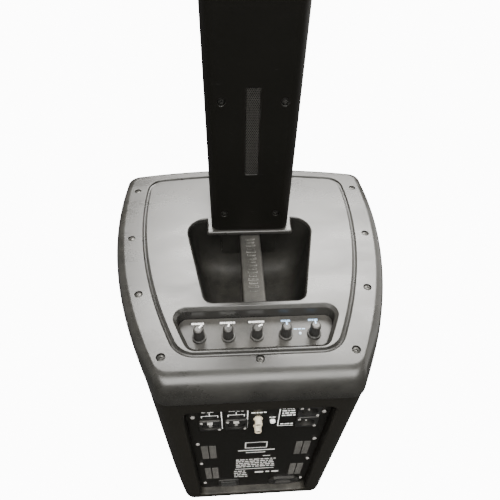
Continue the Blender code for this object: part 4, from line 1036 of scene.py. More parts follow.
@dataclass
class TopCap:
    """Moulded top: rounded rim, groove, screw recesses, mixer pocket, handle well and column deck."""

    side_round: float = 0.012
    front_round: float = 0.008
    rear_round: float = 0.025
    under: float = 0.3785
    groove_side: float = 0.037
    groove_front: float = 0.021
    groove_rear: float = 0.041
    pocket_front: float = 0.0825
    pocket_rear: float = 0.1385
    pocket_side: float = 0.047
    pocket_corner: float = 0.014
    pocket_flare: float = 0.0042
    screw_radius: float = 0.0046
    screw_depth: float = 0.0028
    well_flare: float = 0.0028
    ribs: int = 16
    rib_start: float = -0.0330
    rib_step: float = 0.0058

    def rim_radius(self, y: float) -> float:
        """Radius of the rim at y."""
        radius = self.side_round
        radius += (self.rear_round - self.side_round) * min(max((y - 0.119) / 0.045, 0.0), 1.0)
        radius += (self.front_round - self.side_round) * min(max((-0.149 - y) / 0.025, 0.0), 1.0)
        return radius

    def outer(self) -> list[Loop]:
        """Loops from the skirt's lower edge to the flat top."""
        base = PLAN.band(0.0, PLAN.front, PLAN.rear, 0.015, 0.018)
        loops = [at_z(offset(base, -0.0008), PLAN.seam), at_z(offset(base, -0.0002), PLAN.seam + 0.0003),
                 at_z(base, PLAN.seam + 0.001)]
        steps = 14
        for step in range(steps + 1):
            angle = math.pi / 2 * step / steps
            share = 1 - math.cos(angle)
            drop = 1 - math.sin(angle)
            line = PLAN.band(self.side_round * share, PLAN.front + self.front_round * share,
                             PLAN.rear - self.rear_round * share, 0.015, 0.018)
            loops.append([(x, y, PLAN.top - self.rim_radius(by) * drop)
                          for (x, y), (_, by) in zip(line, base)])
        return loops

    def pocket(self, inset: float, corner: float) -> list[Point2]:
        """Outline of the mixer pocket moved in by inset.

        Args:
            inset: How far it moves in, negative for outward.
            corner: Radius of its corners.

        Returns:
            Outline points.
        """
        return PLAN.band(self.pocket_side + inset, self.pocket_front + inset, self.pocket_rear - inset,
                         corner, corner, False)

    @staticmethod
    def well_ring(front: list[Point2], start: float) -> list[Point2]:
        """Add the bowed side and the rear to a front line, and mirror the whole.

        Args:
            front: Points of the right front, from the middle outward.
            start: Angle at which the front corner's arc starts, in radians.

        Returns:
            The closed outline, counter-clockwise.
        """
        rear = 0.0765
        lean = math.atan2(0.081 - 0.0575, rear - 0.011 + 0.040)
        half = front + arc((0.056, -0.040), 0.025, start, lean, 16)
        half += arc((0.0476, 0.0655), 0.011, lean, math.pi / 2, 10)
        half += [(0.030, rear), (0.015, rear)]
        return half + [(0.0, rear)] + [(-x, y) for x, y in reversed(half[1:])]

    @staticmethod
    def well() -> list[Point2]:
        """Opening of the handle well round the column's deck, counter-clockwise."""
        half = [(0.0, -0.0373), (0.020, -0.0373), (0.040, -0.0373)]
        half += arc((0.054, -0.0403), 0.003, math.pi / 2, 0.0, 6)
        half += [(0.057, -0.052)]
        return TopCap.well_ring(half, -1.49)

    def screw_places(self) -> list[Point2]:
        """Plan places of the screws."""
        places: list[Point2] = []
        for y in (-0.129, -0.030, 0.062, 0.144):
            for side in (-1, 1):
                places.append((side * PLAN.side_x(y, 0.0205), y))
        places.append((0.0, self.pocket_rear + 0.0117))
        return places

    def cap(self) -> None:
        """The moulding."""
        body = lofted("cap", self.outer())
        under = PLAN.band(0.008, PLAN.front + 0.008, PLAN.rear - 0.016, 0.008, 0.008)
        boolean(body, lofted("cut", [at_z(under, 0.34), at_z(under, self.under)]))
        tub = self.pocket(-0.0025, self.pocket_corner + 0.003)
        boolean(body, lofted("add", [at_z(tub, 0.3608), at_z(tub, 0.380)]), "UNION")
        flare = self.pocket_flare
        wall = self.pocket(flare, self.pocket_corner - flare)
        loops = [at_z(wall, 0.3633)]
        for grow, drop in ((0.0, 0.0042), (0.0002, 0.0037), (0.0006, 0.0033), (0.0036, 0.0006),
                           (0.0040, 0.0003), (0.0046, 0.0)):
            loops.append(at_z(offset(wall, grow), PLAN.top - drop))
        loops.append(at_z(offset(wall, 0.0046), PLAN.top + 0.01))
        boolean(body, lofted("cut", loops))
        boolean(body, lofted("cut", [at_z(self.pocket(0.009, 0.006), 0.34),
                                     at_z(self.pocket(0.009, 0.006), 0.38)]))
        loops = []
        for across, z in ((-0.0034, 0.002), (-0.0034, 0.0), (-0.0029, -0.0002), (-0.0023, -0.0008),
                          (-0.0010, -0.0025), (0.0, -0.0029), (0.0010, -0.0025), (0.0023, -0.0008),
                          (0.0029, -0.0002), (0.0034, 0.0), (0.0034, 0.002)):
            line = PLAN.band(self.groove_side + across, PLAN.front + self.groove_front + across,
                             PLAN.rear - self.groove_rear - across, 0.022 - across, 0.028 - across)
            loops.append(at_z(line, PLAN.top + z))
        boolean(body, lofted("cut", loops, ring=True))
        boolean(body, lofted("cut", rim(self.well(), PLAN.top, 0.36, self.well_flare, 7)))
        for number, (x, y) in enumerate(self.screw_places()):
            hole = arc((x, y), self.screw_radius, 0.0, 2 * math.pi * 23 / 24, 23)
            boolean(body, lofted(f"cut_{number}", rim(hole, PLAN.top, PLAN.top - self.screw_depth, 0.0005,
                                                      3)))
        spigot = rounded(0.0654, 0.0574, 0.003, 4, (0.0, -0.0898))
        boolean(body, lofted("cut", rim(spigot, PLAN.top, 0.36, 0.0006, 3)))
        settle(body, Look.CAP, Body.BASE, ("top_cap",), 30.0)

    def screws(self) -> None:
        """Black screws in the recesses."""
        kind = Screw(0.0040, 0.0010, 0.0044, 0.0010)
        kind.make("cap_screw")
        for number, (x, y) in enumerate(self.screw_places()):
            spot = (x, y, PLAN.top - self.screw_depth + 0.0012)
            head = kind.at(f"cap_screw_{number + 1}", Facing.UP.at(spot, number * 0.7))
            settle(head, Look.BLACK_STEEL, Body.BASE)
        kind.done()

    def liner(self) -> None:
        """Bowl of the handle well."""
        full = self.well_ring([(0.0, -0.065), (0.020, -0.065), (0.040, -0.065)], -math.pi / 2)
        middle = (0.0, 0.00575)
        levels = [(0.02, 0.2960), (0.36, 0.2960), (0.52, 0.2967), (0.64, 0.2990), (0.74, 0.3032),
                  (0.81, 0.3092), (0.865, 0.3170), (0.907, 0.3268), (0.940, 0.3385), (0.966, 0.3515),
                  (0.986, 0.3650), (1.0, 0.3782)]

        def level(grow: float, factor: float, z: float) -> Loop:
            """Outline of the bowl at a height.

            Args:
                grow: How far the outline moves outward first.
                factor: Its size against the bowl's mouth.
                z: The height.

            Returns:
                The loop.
            """
            return [(middle[0] + (x - middle[0]) * factor, middle[1] + (y - middle[1]) * factor, z)
                    for x, y in offset(full, grow)]

        inside = [level(0.0001, factor, z) for factor, z in levels]
        outside = [level(0.0021, factor, z - (0.0 if factor == 1.0 else 0.002))
                   for factor, z in reversed(levels)]
        bowl = lofted("well_bowl", inside + outside, ring=False)
        boolean(bowl, slab("cut", (-0.0390, -0.1248, 0.3257), (0.0390, -0.0548, 0.3900)))
        settle(bowl, Look.LINER, Body.BASE, ("well_liner",), 40.0)

    def grip(self) -> None:
        """Grip bar with rounded edges and raised cross ribs on its top."""
        start, end = -0.0548, 0.0748
        section = rounded(0.027, 0.0216, 0.0030, 7, (0.0, 0.3638))
        bar = lofted("grip_bar", [at_y(section, start), at_y(section, end)])
        for index in range(self.ribs):
            y = self.rib_start + index * self.rib_step
            reach = (0.0058, 0.0050, 0.0058, 0.0044)[index % 4]
            rib = slab("rib", (-reach, y, 0.3735), (reach, y + 0.0026, 0.3750), 0.0003, 2)
            boolean(bar, rib, "UNION")
        settle(bar, Look.GRIP, Body.BASE, ("handle_bar",), 40.0)

    def build(self) -> None:
        """Build every piece of the top."""
        self.cap()
        self.screws()
        self.liner()
        self.grip()


@dataclass
class Mixer:
    """Control panel in the pocket: plate, printed marks, knobs and status light."""

    floor: float = 0.3656
    row_y: float = 0.1121
    spacing: float = 0.03194
    skirt: float = 0.0078
    barrel: float = 0.0057
    height: float = 0.0182
    turns: tuple[float, ...] = (-38.0, -12.0, -60.0, 0.0, 4.0)

    def plate(self, cap: TopCap) -> None:
        """Control plate."""
        line = cap.pocket(cap.pocket_flare + 0.0003, 0.0095)
        loops = [at_z(line, self.floor - 0.002), at_z(line, self.floor - 0.0003),
                 at_z(offset(line, -0.0003), self.floor)]
        body = lofted("mixer_panel", loops)
        settle(body, Look.MIXER, Body.BASE, ("mixer_plate",))

    def print_bar(self, x0: float, x1: float, y: float, tall: float = 0.0016) -> bpy.types.Object:
        """Thin printed bar.

        Args:
            x0: One end across.
            x1: The other end across.
            y: Its middle line.
            tall: Its height as printed.

        Returns:
            The bar.
        """
        low = (min(x0, x1), y - tall / 2, self.floor - 0.00005)
        high = (max(x0, x1), y + tall / 2, self.floor + 0.00006)
        return slab("bar", low, high)

    def marks(self) -> None:
        """Printed bars beyond the knobs."""
        white: list[bpy.types.Object] = []
        blue: list[bpy.types.Object] = []
        for index, (x0, x1) in enumerate(((0.0733, 0.0580), (0.0411, 0.0240), (0.0086, -0.0102),
                                          (-0.0286, -0.0390), (-0.0599, -0.0720))):
            group = white if index < 3 else blue
            run = x0
            piece = 0
            while run - 0.0012 > x1:
                width = (0.0034, 0.0024, 0.0042, 0.0028)[piece % 4]
                group.append(self.print_bar(run, max(run - width, x1), 0.0936, 0.0025))
                run -= width + 0.0004
                piece += 1
        for step in range(3):
            blue.append(self.print_bar(-0.0418 - step * 0.0046, -0.0454 - step * 0.0046, 0.1050, 0.0013))
        # Both mark sets take the print finishes, whose glow is painted light.
        settle(joined("panel_marks_white", white), Look.WHITE, Body.BASE)
        settle(joined("panel_marks_blue", blue), Look.BLUE, Body.BASE)

    def knobs(self) -> None:
        """Five fluted knobs with a pointer each."""
        h = self.height
        r = self.barrel
        profile = [(0.0, 0.0012), (0.0046, 0.0012), (0.0046, 0.0006), (self.skirt - 0.0003, 0.0006),
                   (self.skirt, 0.0009), (self.skirt, 0.0019), (self.skirt - 0.0003, 0.0023),
                   (self.skirt - 0.0010, 0.0025), (r + 0.0006, 0.0026), (r + 0.0002, 0.0031), (r, 0.0042),
                   (r, h - 0.0022), (r - 0.0002, h - 0.0012), (r - 0.0008, h - 0.0004),
                   (r - 0.0016, h - 0.00005), (r - 0.0022, h), (r - 0.0024, h - 0.0003), (0.0, h - 0.0003)]
        source = spun("knob", profile, 72)
        for vertex in source.data.vertices:
            x, y, z = vertex.co
            if 0.0052 < z < h - 0.0009:
                angle = math.atan2(y, x)
                scale = 1.0 + 0.022 * math.cos(angle * 18)
                vertex.co = (x * scale, y * scale, z)
        line = slab("pointer", (-0.0008, -(r - 0.0004), h - 0.0006), (0.0008, -0.0012, h + 0.00012),
                    0.0001, 1)
        side = slab("pointer_side", (-0.0008, -(r + 0.00035), h - 0.0065),
                    (0.0008, -(r - 0.0008), h - 0.0004), 0.0001, 1)
        for index in range(5):
            x = 2 * self.spacing - index * self.spacing
            where = Facing.UP.at((x, self.row_y, self.floor), math.radians(self.turns[index]))
            knob = copied(source, f"knob_cap_{index + 1}", where)
            settle(knob, Look.KNOB, f"knob_{index + 1}", (f"level_knob_{index + 1}",), 34.0)
            marks = [copied(line, "pointer_top", where), copied(side, "pointer_edge", where)]
            pointer = joined(f"knob_pointer_{index + 1}", marks)
            # The pointers take the print finishes, whose glow is painted light.
            settle(pointer, Look.WHITE if index < 3 else Look.BLUE, f"knob_{index + 1}")
        for spare in (source, line, side):
            bpy.data.objects.remove(spare, do_unlink=True)

    def lens(self) -> None:
        """Status light."""
        dome = spun("light", [(0.0, -0.0035), (0.0017, -0.0035), (0.0017, 0.0002), (0.0014, 0.0007),
                              (0.0008, 0.0010), (0.0, 0.0011)], 24)
        dome.data.transform(Matrix.Translation((-0.0485, 0.1107, self.floor)))
        settle(dome, Look.LENS, Body.BASE, ("status_lens",))

    def build(self, cap: TopCap) -> None:
        """Build every piece of the mixer."""
        self.plate(cap)
        self.marks()
        self.knobs()
        self.lens()


@dataclass
class ConnectorPlate:
    """Rear plate with its connectors, switch, printed marks and screws."""

    face: float = 0.1727
    half: float = 0.0805
    low: float = 0.026
    high: float = 0.333
    thick: float = 0.0025
    combo_x: tuple[float, float] = (0.0552, 0.0254)
    combo_z: float = 0.277
    output_x: float = -0.0571
    output_z: tuple[float, float] = (0.305, 0.2755)
    phono_z: tuple[float, float] = (0.271, 0.291)
    screw: Screw = field(default_factory=lambda: Screw(0.0026, 0.0009, 0.0032, 0.0009))

    def rear(self, x: float, z: float, turn: float = 0.0) -> Matrix:
        """Matrix that stands a piece on the plate's face, looking to the rear.

        Args:
            x: Place across.
            z: Height.
            turn: Turn about the piece's own axis, in radians.

        Returns:
            The placing matrix.
        """
        return Facing.REAR.at((x, self.face, z), turn)

    def panel(self) -> None:
        """The plate, with a hole behind each connector."""
        middle = (self.low + self.high) / 2
        line = rounded(2 * self.half, self.high - self.low, 0.0085, 8, (0.0, middle))
        loops = [at_y(line, self.face - self.thick), at_y(line, self.face - 0.0005),
                 at_y(offset(line, -0.00015), self.face - 0.00015), at_y(offset(line, -0.0005), self.face)]
        body = lofted("rear_panel", loops)
        spots = [(x, self.combo_z, 0.0116) for x in self.combo_x]
        spots += [(self.output_x, z, 0.0116) for z in self.output_z]
        spots += [(0.0005, z, 0.0046) for z in self.phono_z]
        spots.append((-0.0166, 0.281, 0.0036))
        for x, z, radius in spots:
            hole = arc((x, z), radius, 0.0, 2 * math.pi * 31 / 32, 31)
            boolean(body, lofted("cut", [at_y(hole, 0.15), at_y(hole, 0.19)]))
        boolean(body, slab("cut", (-0.0615, 0.15, 0.0395), (-0.0325, 0.19, 0.0605)))
        boolean(body, slab("cut", (0.0245, 0.15, 0.0400), (0.0515, 0.19, 0.0600)))
        settle(body, Look.PLATE, Body.BASE, ("amp_plate",))

    def flange(self, name: str, width: float = 0.026, height: float = 0.027) -> bpy.types.Object:
        """Square flange about the origin, looking up.

        Args:
            name: Name of the piece.
            width: Its width.
            height: Its height.

        Returns:
            The flange.
        """
        line = rounded(width, height, 0.0032, 6)
        return lofted(name, [at_z(line, 0.0002), at_z(line, 0.0016), at_z(offset(line, -0.0003), 0.0021),
                             at_z(offset(line, -0.0008), 0.0023)])

    def hole(self, target: bpy.types.Object, x: float, y: float, radius: float, low: float,
             high: float) -> None:
        """Cut a round hole with a soft mouth.

        Args:
            target: The piece that is cut.
            x: Centre across.
            y: Centre upwards.
            radius: Radius of the hole.
            low: Height of its floor.
            high: Height of the face.
        """
        soft = min(0.0004, radius * 0.2)
        tool = spun("cut", [(0.0, low), (radius, low), (radius, high - soft), (radius + soft, high),
                            (radius + soft, high + 0.01), (0.0, high + 0.01)], 32)
        tool.data.transform(Matrix.Translation((x, y, 0.0)))
        boolean(target, tool)

    def combos(self) -> None:
        """Two combined input sockets with their release tabs."""
        body = self.flange("combo")
        core = spun("add", [(0.0, -0.0178), (0.0112, -0.0178), (0.0112, 0.0010), (0.0, 0.0010)], 48)
        boolean(body, core, "UNION")
        self.hole(body, 0.0, 0.0, 0.0098, -0.0012, 0.0023)
        ring = spun("add", [(0.0, -0.0150), (0.0088, -0.0150), (0.0088, 0.0006), (0.0085, 0.0010),
                            (0.0, 0.0010)], 40)
        boolean(body, ring, "UNION")
        self.hole(body, 0.0, 0.0, 0.0034, -0.0150, 0.0010)
        for x, y in ((-0.0052, 0.0032), (0.0052, 0.0032), (0.0, -0.0060)):
            self.hole(body, x, y, 0.0014, -0.0100, 0.0010)
        boolean(body, slab("cut", (-0.0036, 0.0095, -0.0066), (0.0036, 0.0123, 0.01)))
        tab = slab("tab", (-0.0032, 0.0099, -0.0035), (0.0032, 0.0119, 0.0045), 0.0004, 3)
        tongue = slab("tongue", (-0.0018, -0.0046, -0.0060), (0.0018, 0.0004, 0.0012), 0.0003, 2)
        for index, x in enumerate(self.combo_x):
            jack = copied(body, f"input_jack_{index + 1}", self.rear(x, self.combo_z))
            settle(jack, Look.JACK, Body.BASE, (f"combo_jack_{index + 1}",))
            latch = copied(tab, f"input_tab_{index + 1}", self.rear(x, self.combo_z))
            settle(latch, Look.STEEL, f"latch_{index + 1}", (f"combo_latch_{index + 1}",))
            spring = copied(tongue, f"input_spring_{index + 1}", self.rear(x, self.combo_z))
            settle(spring, Look.STEEL, Body.BASE)
        bpy.data.objects.remove(body, do_unlink=True)
        bpy.data.objects.remove(tab, do_unlink=True)
        bpy.data.objects.remove(tongue, do_unlink=True)

    def outputs(self) -> None:
        """Two output sockets with three pins each."""
        body = self.flange("output")
        core = spun("add", [(0.0, -0.0178), (0.0112, -0.0178), (0.0112, 0.0010), (0.0, 0.0010)], 48)
        boolean(body, core, "UNION")
        self.hole(body, 0.0, 0.0, 0.0092, -0.0140, 0.0023)
        pins: list[bpy.types.Object] = []
        for x, y in ((-0.0041, 0.0025), (0.0041, 0.0025), (0.0, -0.0035)):
            pin = spun("pin", [(0.0, -0.0145), (0.0012, -0.0145), (0.0012, -0.0020), (0.0008, -0.0012),
                               (0.0, -0.0010)], 16)
            pin.data.transform(Matrix.Translation((x, y, 0.0)))
            pins.append(pin)
        pin_set = joined("pins", pins)
        for index, z in enumerate(self.output_z):
            jack = copied(body, f"output_jack_{index + 1}", self.rear(self.output_x, z))
            settle(jack, Look.JACK, Body.BASE, (f"output_socket_{index + 1}",))
            metal = copied(pin_set, f"output_pins_{index + 1}", self.rear(self.output_x, z))
            settle(metal, Look.STEEL, Body.BASE)
        bpy.data.objects.remove(body, do_unlink=True)
        bpy.data.objects.remove(pin_set, do_unlink=True)

    def small_sockets(self) -> None:
        """Gold phono pair and the pairing button."""
        parts: list[bpy.types.Object] = []
        inner: list[bpy.types.Object] = []
        for z in self.phono_z:
            barrel = spun("barrel", [(0.0, -0.0060), (0.0042, -0.0060), (0.0042, 0.0010), (0.0052, 0.0010),
                                     (0.0054, 0.0013), (0.0054, 0.0020), (0.0042, 0.0024), (0.0042, 0.0086),
                                     (0.0039, 0.0090), (0.0034, 0.0090), (0.0033, 0.0086), (0.0033, 0.0010),
                                     (0.0, 0.0010)], 36)
            barrel.data.transform(self.rear(0.0005, z))
            parts.append(barrel)
            core = spun("core", [(0.0, 0.0005), (0.0032, 0.0005), (0.0032, 0.0078), (0.0029, 0.0082),
                                 (0.0017, 0.0082), (0.0016, 0.0070), (0.0016, 0.0012), (0.0, 0.0012)], 28)
            core.data.transform(self.rear(0.0005, z))
            inner.append(core)
        rear_box = slab("box", (-0.0065, 0.1600, 0.261), (0.0075, 0.1698, 0.301), 0.0005)
        parts.append(rear_box)
        settle(joined("phono_barrels", parts), Look.GOLD, Body.BASE, ("phono_pair",))
        settle(joined("phono_cores", inner), Look.JACK, Body.BASE)
        button = spun("button", [(0.0, -0.0060), (0.0031, -0.0060), (0.0031, 0.0020), (0.0028, 0.0026),
                                 (0.0020, 0.0028), (0.0012, 0.0026), (0.0, 0.0025)], 32)
        button.data.transform(self.rear(-0.0166, 0.281))
        # The white button takes the white print finish, so it glows with the same painted light.
        settle(button, Look.WHITE, Body.PAIR, ("pairing_button",))

    def power(self) -> None:
        """Mains inlet, switch frame and rocker."""
        line = [(-0.0240, 0.0), (-0.0225, -0.0035), (-0.0165, -0.0113), (-0.0145, -0.0125),
                (0.0145, -0.0125), (0.0165, -0.0113), (0.0225, -0.0035), (0.0240, 0.0), (0.0225, 0.0035),
                (0.0165, 0.0113), (0.0145, 0.0125), (-0.0145, 0.0125), (-0.0165, 0.0113), (-0.0225, 0.0035)]
        inlet = lofted("inlet",
                       [at_z(line, 0.0002), at_z(line, 0.0034), at_z(offset(line, -0.0006), 0.0040)])
        boolean(inlet, slab("add", (-0.0140, -0.0100, -0.0178), (0.0140, 0.0100, 0.0020)), "UNION")
        mouth = [(-0.012, -0.0085), (0.012, -0.0085), (0.012, 0.0035), (0.0075, 0.0085), (-0.0075, 0.0085),
                 (-0.012, 0.0035)]
        boolean(inlet, lofted("cut", [at_z(mouth, -0.0155), at_z(mouth, 0.0034),
                                      at_z(offset(mouth, 0.0006), 0.0040),
                                      at_z(offset(mouth, 0.0006), 0.01)]))
        inlet.data.transform(self.rear(-0.047, 0.050))
        settle(inlet, Look.JACK, Body.BASE, ("mains_inlet",))
        blades = [slab("blade", (x - 0.001, y - 0.002, -0.0165), (x + 0.001, y + 0.002, -0.0040), 0.0003)
                  for x, y in ((-0.007, -0.002), (0.007, -0.002), (0.0, 0.002))]
        metal = joined("inlet_blades", blades)
        metal.data.transform(self.rear(-0.047, 0.050))
        settle(metal, Look.STEEL, Body.BASE)
        lip = slab("inlet_lip", (-0.0071, 0.0071, -0.0060), (0.0071, 0.0083, 0.0030), 0.0003, 2)
        lip.data.transform(self.rear(-0.047, 0.050))
        settle(lip, Look.CREAM, Body.BASE)
        edge = rounded(0.031, 0.024, 0.002, 5)
        switch = lofted("switch", [at_z(edge, 0.0002), at_z(edge, 0.0016),
                                   at_z(offset(edge, -0.0007), 0.0023)])
        boolean(switch, slab("add", (-0.0130, -0.0095, -0.0178), (0.0130, 0.0095, 0.0010)), "UNION")
        boolean(switch, slab("cut", (-0.0116, -0.0083, -0.0145), (0.0116, 0.0083, 0.01)))
        switch.data.transform(self.rear(0.038, 0.050))
        settle(switch, Look.JACK, Body.BASE, ("rocker_frame",))
        half = 0.0068
        rise = 2 * half * math.tan(math.radians(8.0))
        section = [(half, 0.0030), (0.0035, 0.0029), (0.0, 0.0031), (-0.0035, 0.0030 + rise * 0.46),
                   (-half, 0.0030 + rise), (-0.0050, -0.0050), (0.0050, -0.0050)]
        paddle = lofted("paddle", [[(x, y, h) for y, h in section] for x in (-0.0110, 0.0110)])
        soften(paddle, 0.0003, 2)
        paddle.data.transform(self.rear(0.038, 0.050))
        settle(paddle, Look.PADDLE, Body.ROCKER, ("power_rocker",))

    def bar(self, x0: float, x1: float, z0: float, z1: float) -> bpy.types.Object:
        """Printed bar between two corners of the plate.

        Args:
            x0: One side.
            x1: The other side.
            z0: One end.
            z1: The other end.

        Returns:
            The bar.
        """
        low = (min(x0, x1), self.face - 0.00005, min(z0, z1))
        high = (max(x0, x1), self.face + 0.00006, max(z0, z1))
        return slab("bar", low, high)

    def words(self, x0: float, x1: float, z: float, tall: float, seed: int) -> list[bpy.types.Object]:
        """Row of short bars with no letters, in place of a printed line.

        Args:
            x0: Start of the row.
            x1: End of the row.
            z: Its height on the plate.
            tall: Height of the bars.
            seed: Picks the run of lengths.

        Returns:
            The bars.
        """
        made: list[bpy.types.Object] = []
        run = x0
        step = seed
        while run - tall * 0.8 > x1:
            width = tall * (1.3, 2.1, 0.9, 1.7, 2.6)[step % 5]
            made.append(self.bar(run, max(run - width, x1), z - tall / 2, z + tall / 2))
            run -= width + tall * 0.55
            step += 1
        return made

    def marks(self) -> None:
        """Printed dividers, titles and blocks, all without letters."""
        white: list[bpy.types.Object] = []
        dim: list[bpy.types.Object] = []
        for x in (0.0419, 0.0126, -0.0235):
            white.append(self.bar(x - 0.0005, x + 0.0005, 0.2635, 0.317))
        white.append(self.bar(-0.0235, -0.0420, 0.2632, 0.2642))
        for index, x in enumerate(self.combo_x):
            white.append(self.bar(x + 0.0095, x - 0.0095, 0.3010, 0.3018))
            white.append(self.bar(x + 0.0095, x + 0.0087, 0.2965, 0.3018))
            white.append(self.bar(x - 0.0087, x - 0.0095, 0.2965, 0.3018))
            white.append(self.bar(x + 0.0004, x - 0.0004, 0.3018, 0.3085))
            white += self.words(x + 0.0085, x - 0.0085, 0.3125, 0.0034, index)
        white += self.words(0.0085, -0.0085, 0.3140, 0.0030, 2)
        white += self.words(0.0085, -0.0085, 0.3045, 0.0022, 1)
        white += self.words(-0.0115, -0.0220, 0.3140, 0.0030, 3)
        white += self.words(-0.0125, -0.0210, 0.2900, 0.0018, 0)
        for row in range(4):
            white += self.words(-0.0265, -0.0420, 0.3120 - row * 0.0062, 0.0024, row)
        white += self.words(-0.0265, -0.0415, 0.2690, 0.0022, 3)
        # The white marks take the white print finish, whose glow is painted light.
        settle(joined("plate_marks", white), Look.WHITE, Body.BASE)
        for x0, x1, z0, z1 in ((0.0134, -0.0134, 0.212, 0.2135), (0.0134, -0.0134, 0.193, 0.1945),
                               (0.0145, 0.0130, 0.193, 0.2135), (-0.0130, -0.0145, 0.193, 0.2135),
                               (0.0235, -0.0250, 0.183, 0.186), (0.0129, -0.0130, 0.175, 0.177),
                               (-0.0105, -0.0205, 0.160, 0.162)):
            dim.append(self.bar(x0, x1, z0, z1))
        for row in range(5):
            dim += self.words(0.0262, -0.0288, 0.148 - row * 0.0075, 0.0030, row)
        dim.append(self.bar(0.0278, -0.0283, 0.1065, 0.1085))
        for row in range(4):
            dim += self.words(0.0293, 0.0097, 0.098 - row * 0.0085, 0.0030, row)
        dim += self.words(-0.0015, -0.0414, 0.090, 0.0060, 1)
        settle(joined("plate_small_marks", dim), Look.DIM, Body.BASE)

    def vents(self) -> None:
        """Four pairs of louvred vents, each a stack of slats modelled once and copied."""
        slat = slab("slat", (-0.0043, -0.0006, -0.00045), (0.0043, 0.0006, 0.00045), 0.0002, 1)
        slats: list[bpy.types.Object] = []
        for low, rows in ((0.164, 18), (0.074, 19)):
            for x in (0.05625, 0.0665, -0.05625, -0.0665):
                for row in range(rows):
                    spot = (x, self.face + 0.0004, low + row * 0.00255)
                    slats.append(copied(slat, "slat", Matrix.Translation(spot)))
        bpy.data.objects.remove(slat, do_unlink=True)
        settle(joined("vent_slats", slats), Look.SLAT, Body.BASE)

    def screws(self) -> None:
        """Screws of the plate and of the connectors."""
        self.screw.make("plate_screw")
        number = 0
        for z in (0.3009, 0.2178, 0.1427, 0.0528):
            for x in (-0.074, 0.074):
                number += 1
                head = self.screw.at(f"plate_screw_{number}", Facing.REAR.at((x, self.face + 0.0010, z),
                                                                             number * 0.9))
                settle(head, Look.STEEL, Body.BASE)
        spots = [(x, self.combo_z) for x in self.combo_x] + [(self.output_x, z) for z in self.output_z]
        for x, z in spots:
            for dx, dz in ((0.0099, 0.0099), (-0.0099, -0.0099)):
                number += 1
                where = Facing.REAR.at((x + dx, self.face + 0.0026, z + dz),
                                       number * 0.7) @ Matrix.Scale(0.75, 4)
                settle(self.screw.at(f"jack_screw_{number}", where), Look.STEEL, Body.BASE)
        self.screw.done()

    def build(self) -> None:
        """Build every piece of the plate."""
        self.panel()
        self.combos()
        self.outputs()
        self.small_sockets()
        self.power()
        self.marks()
        self.vents()
        self.screws()


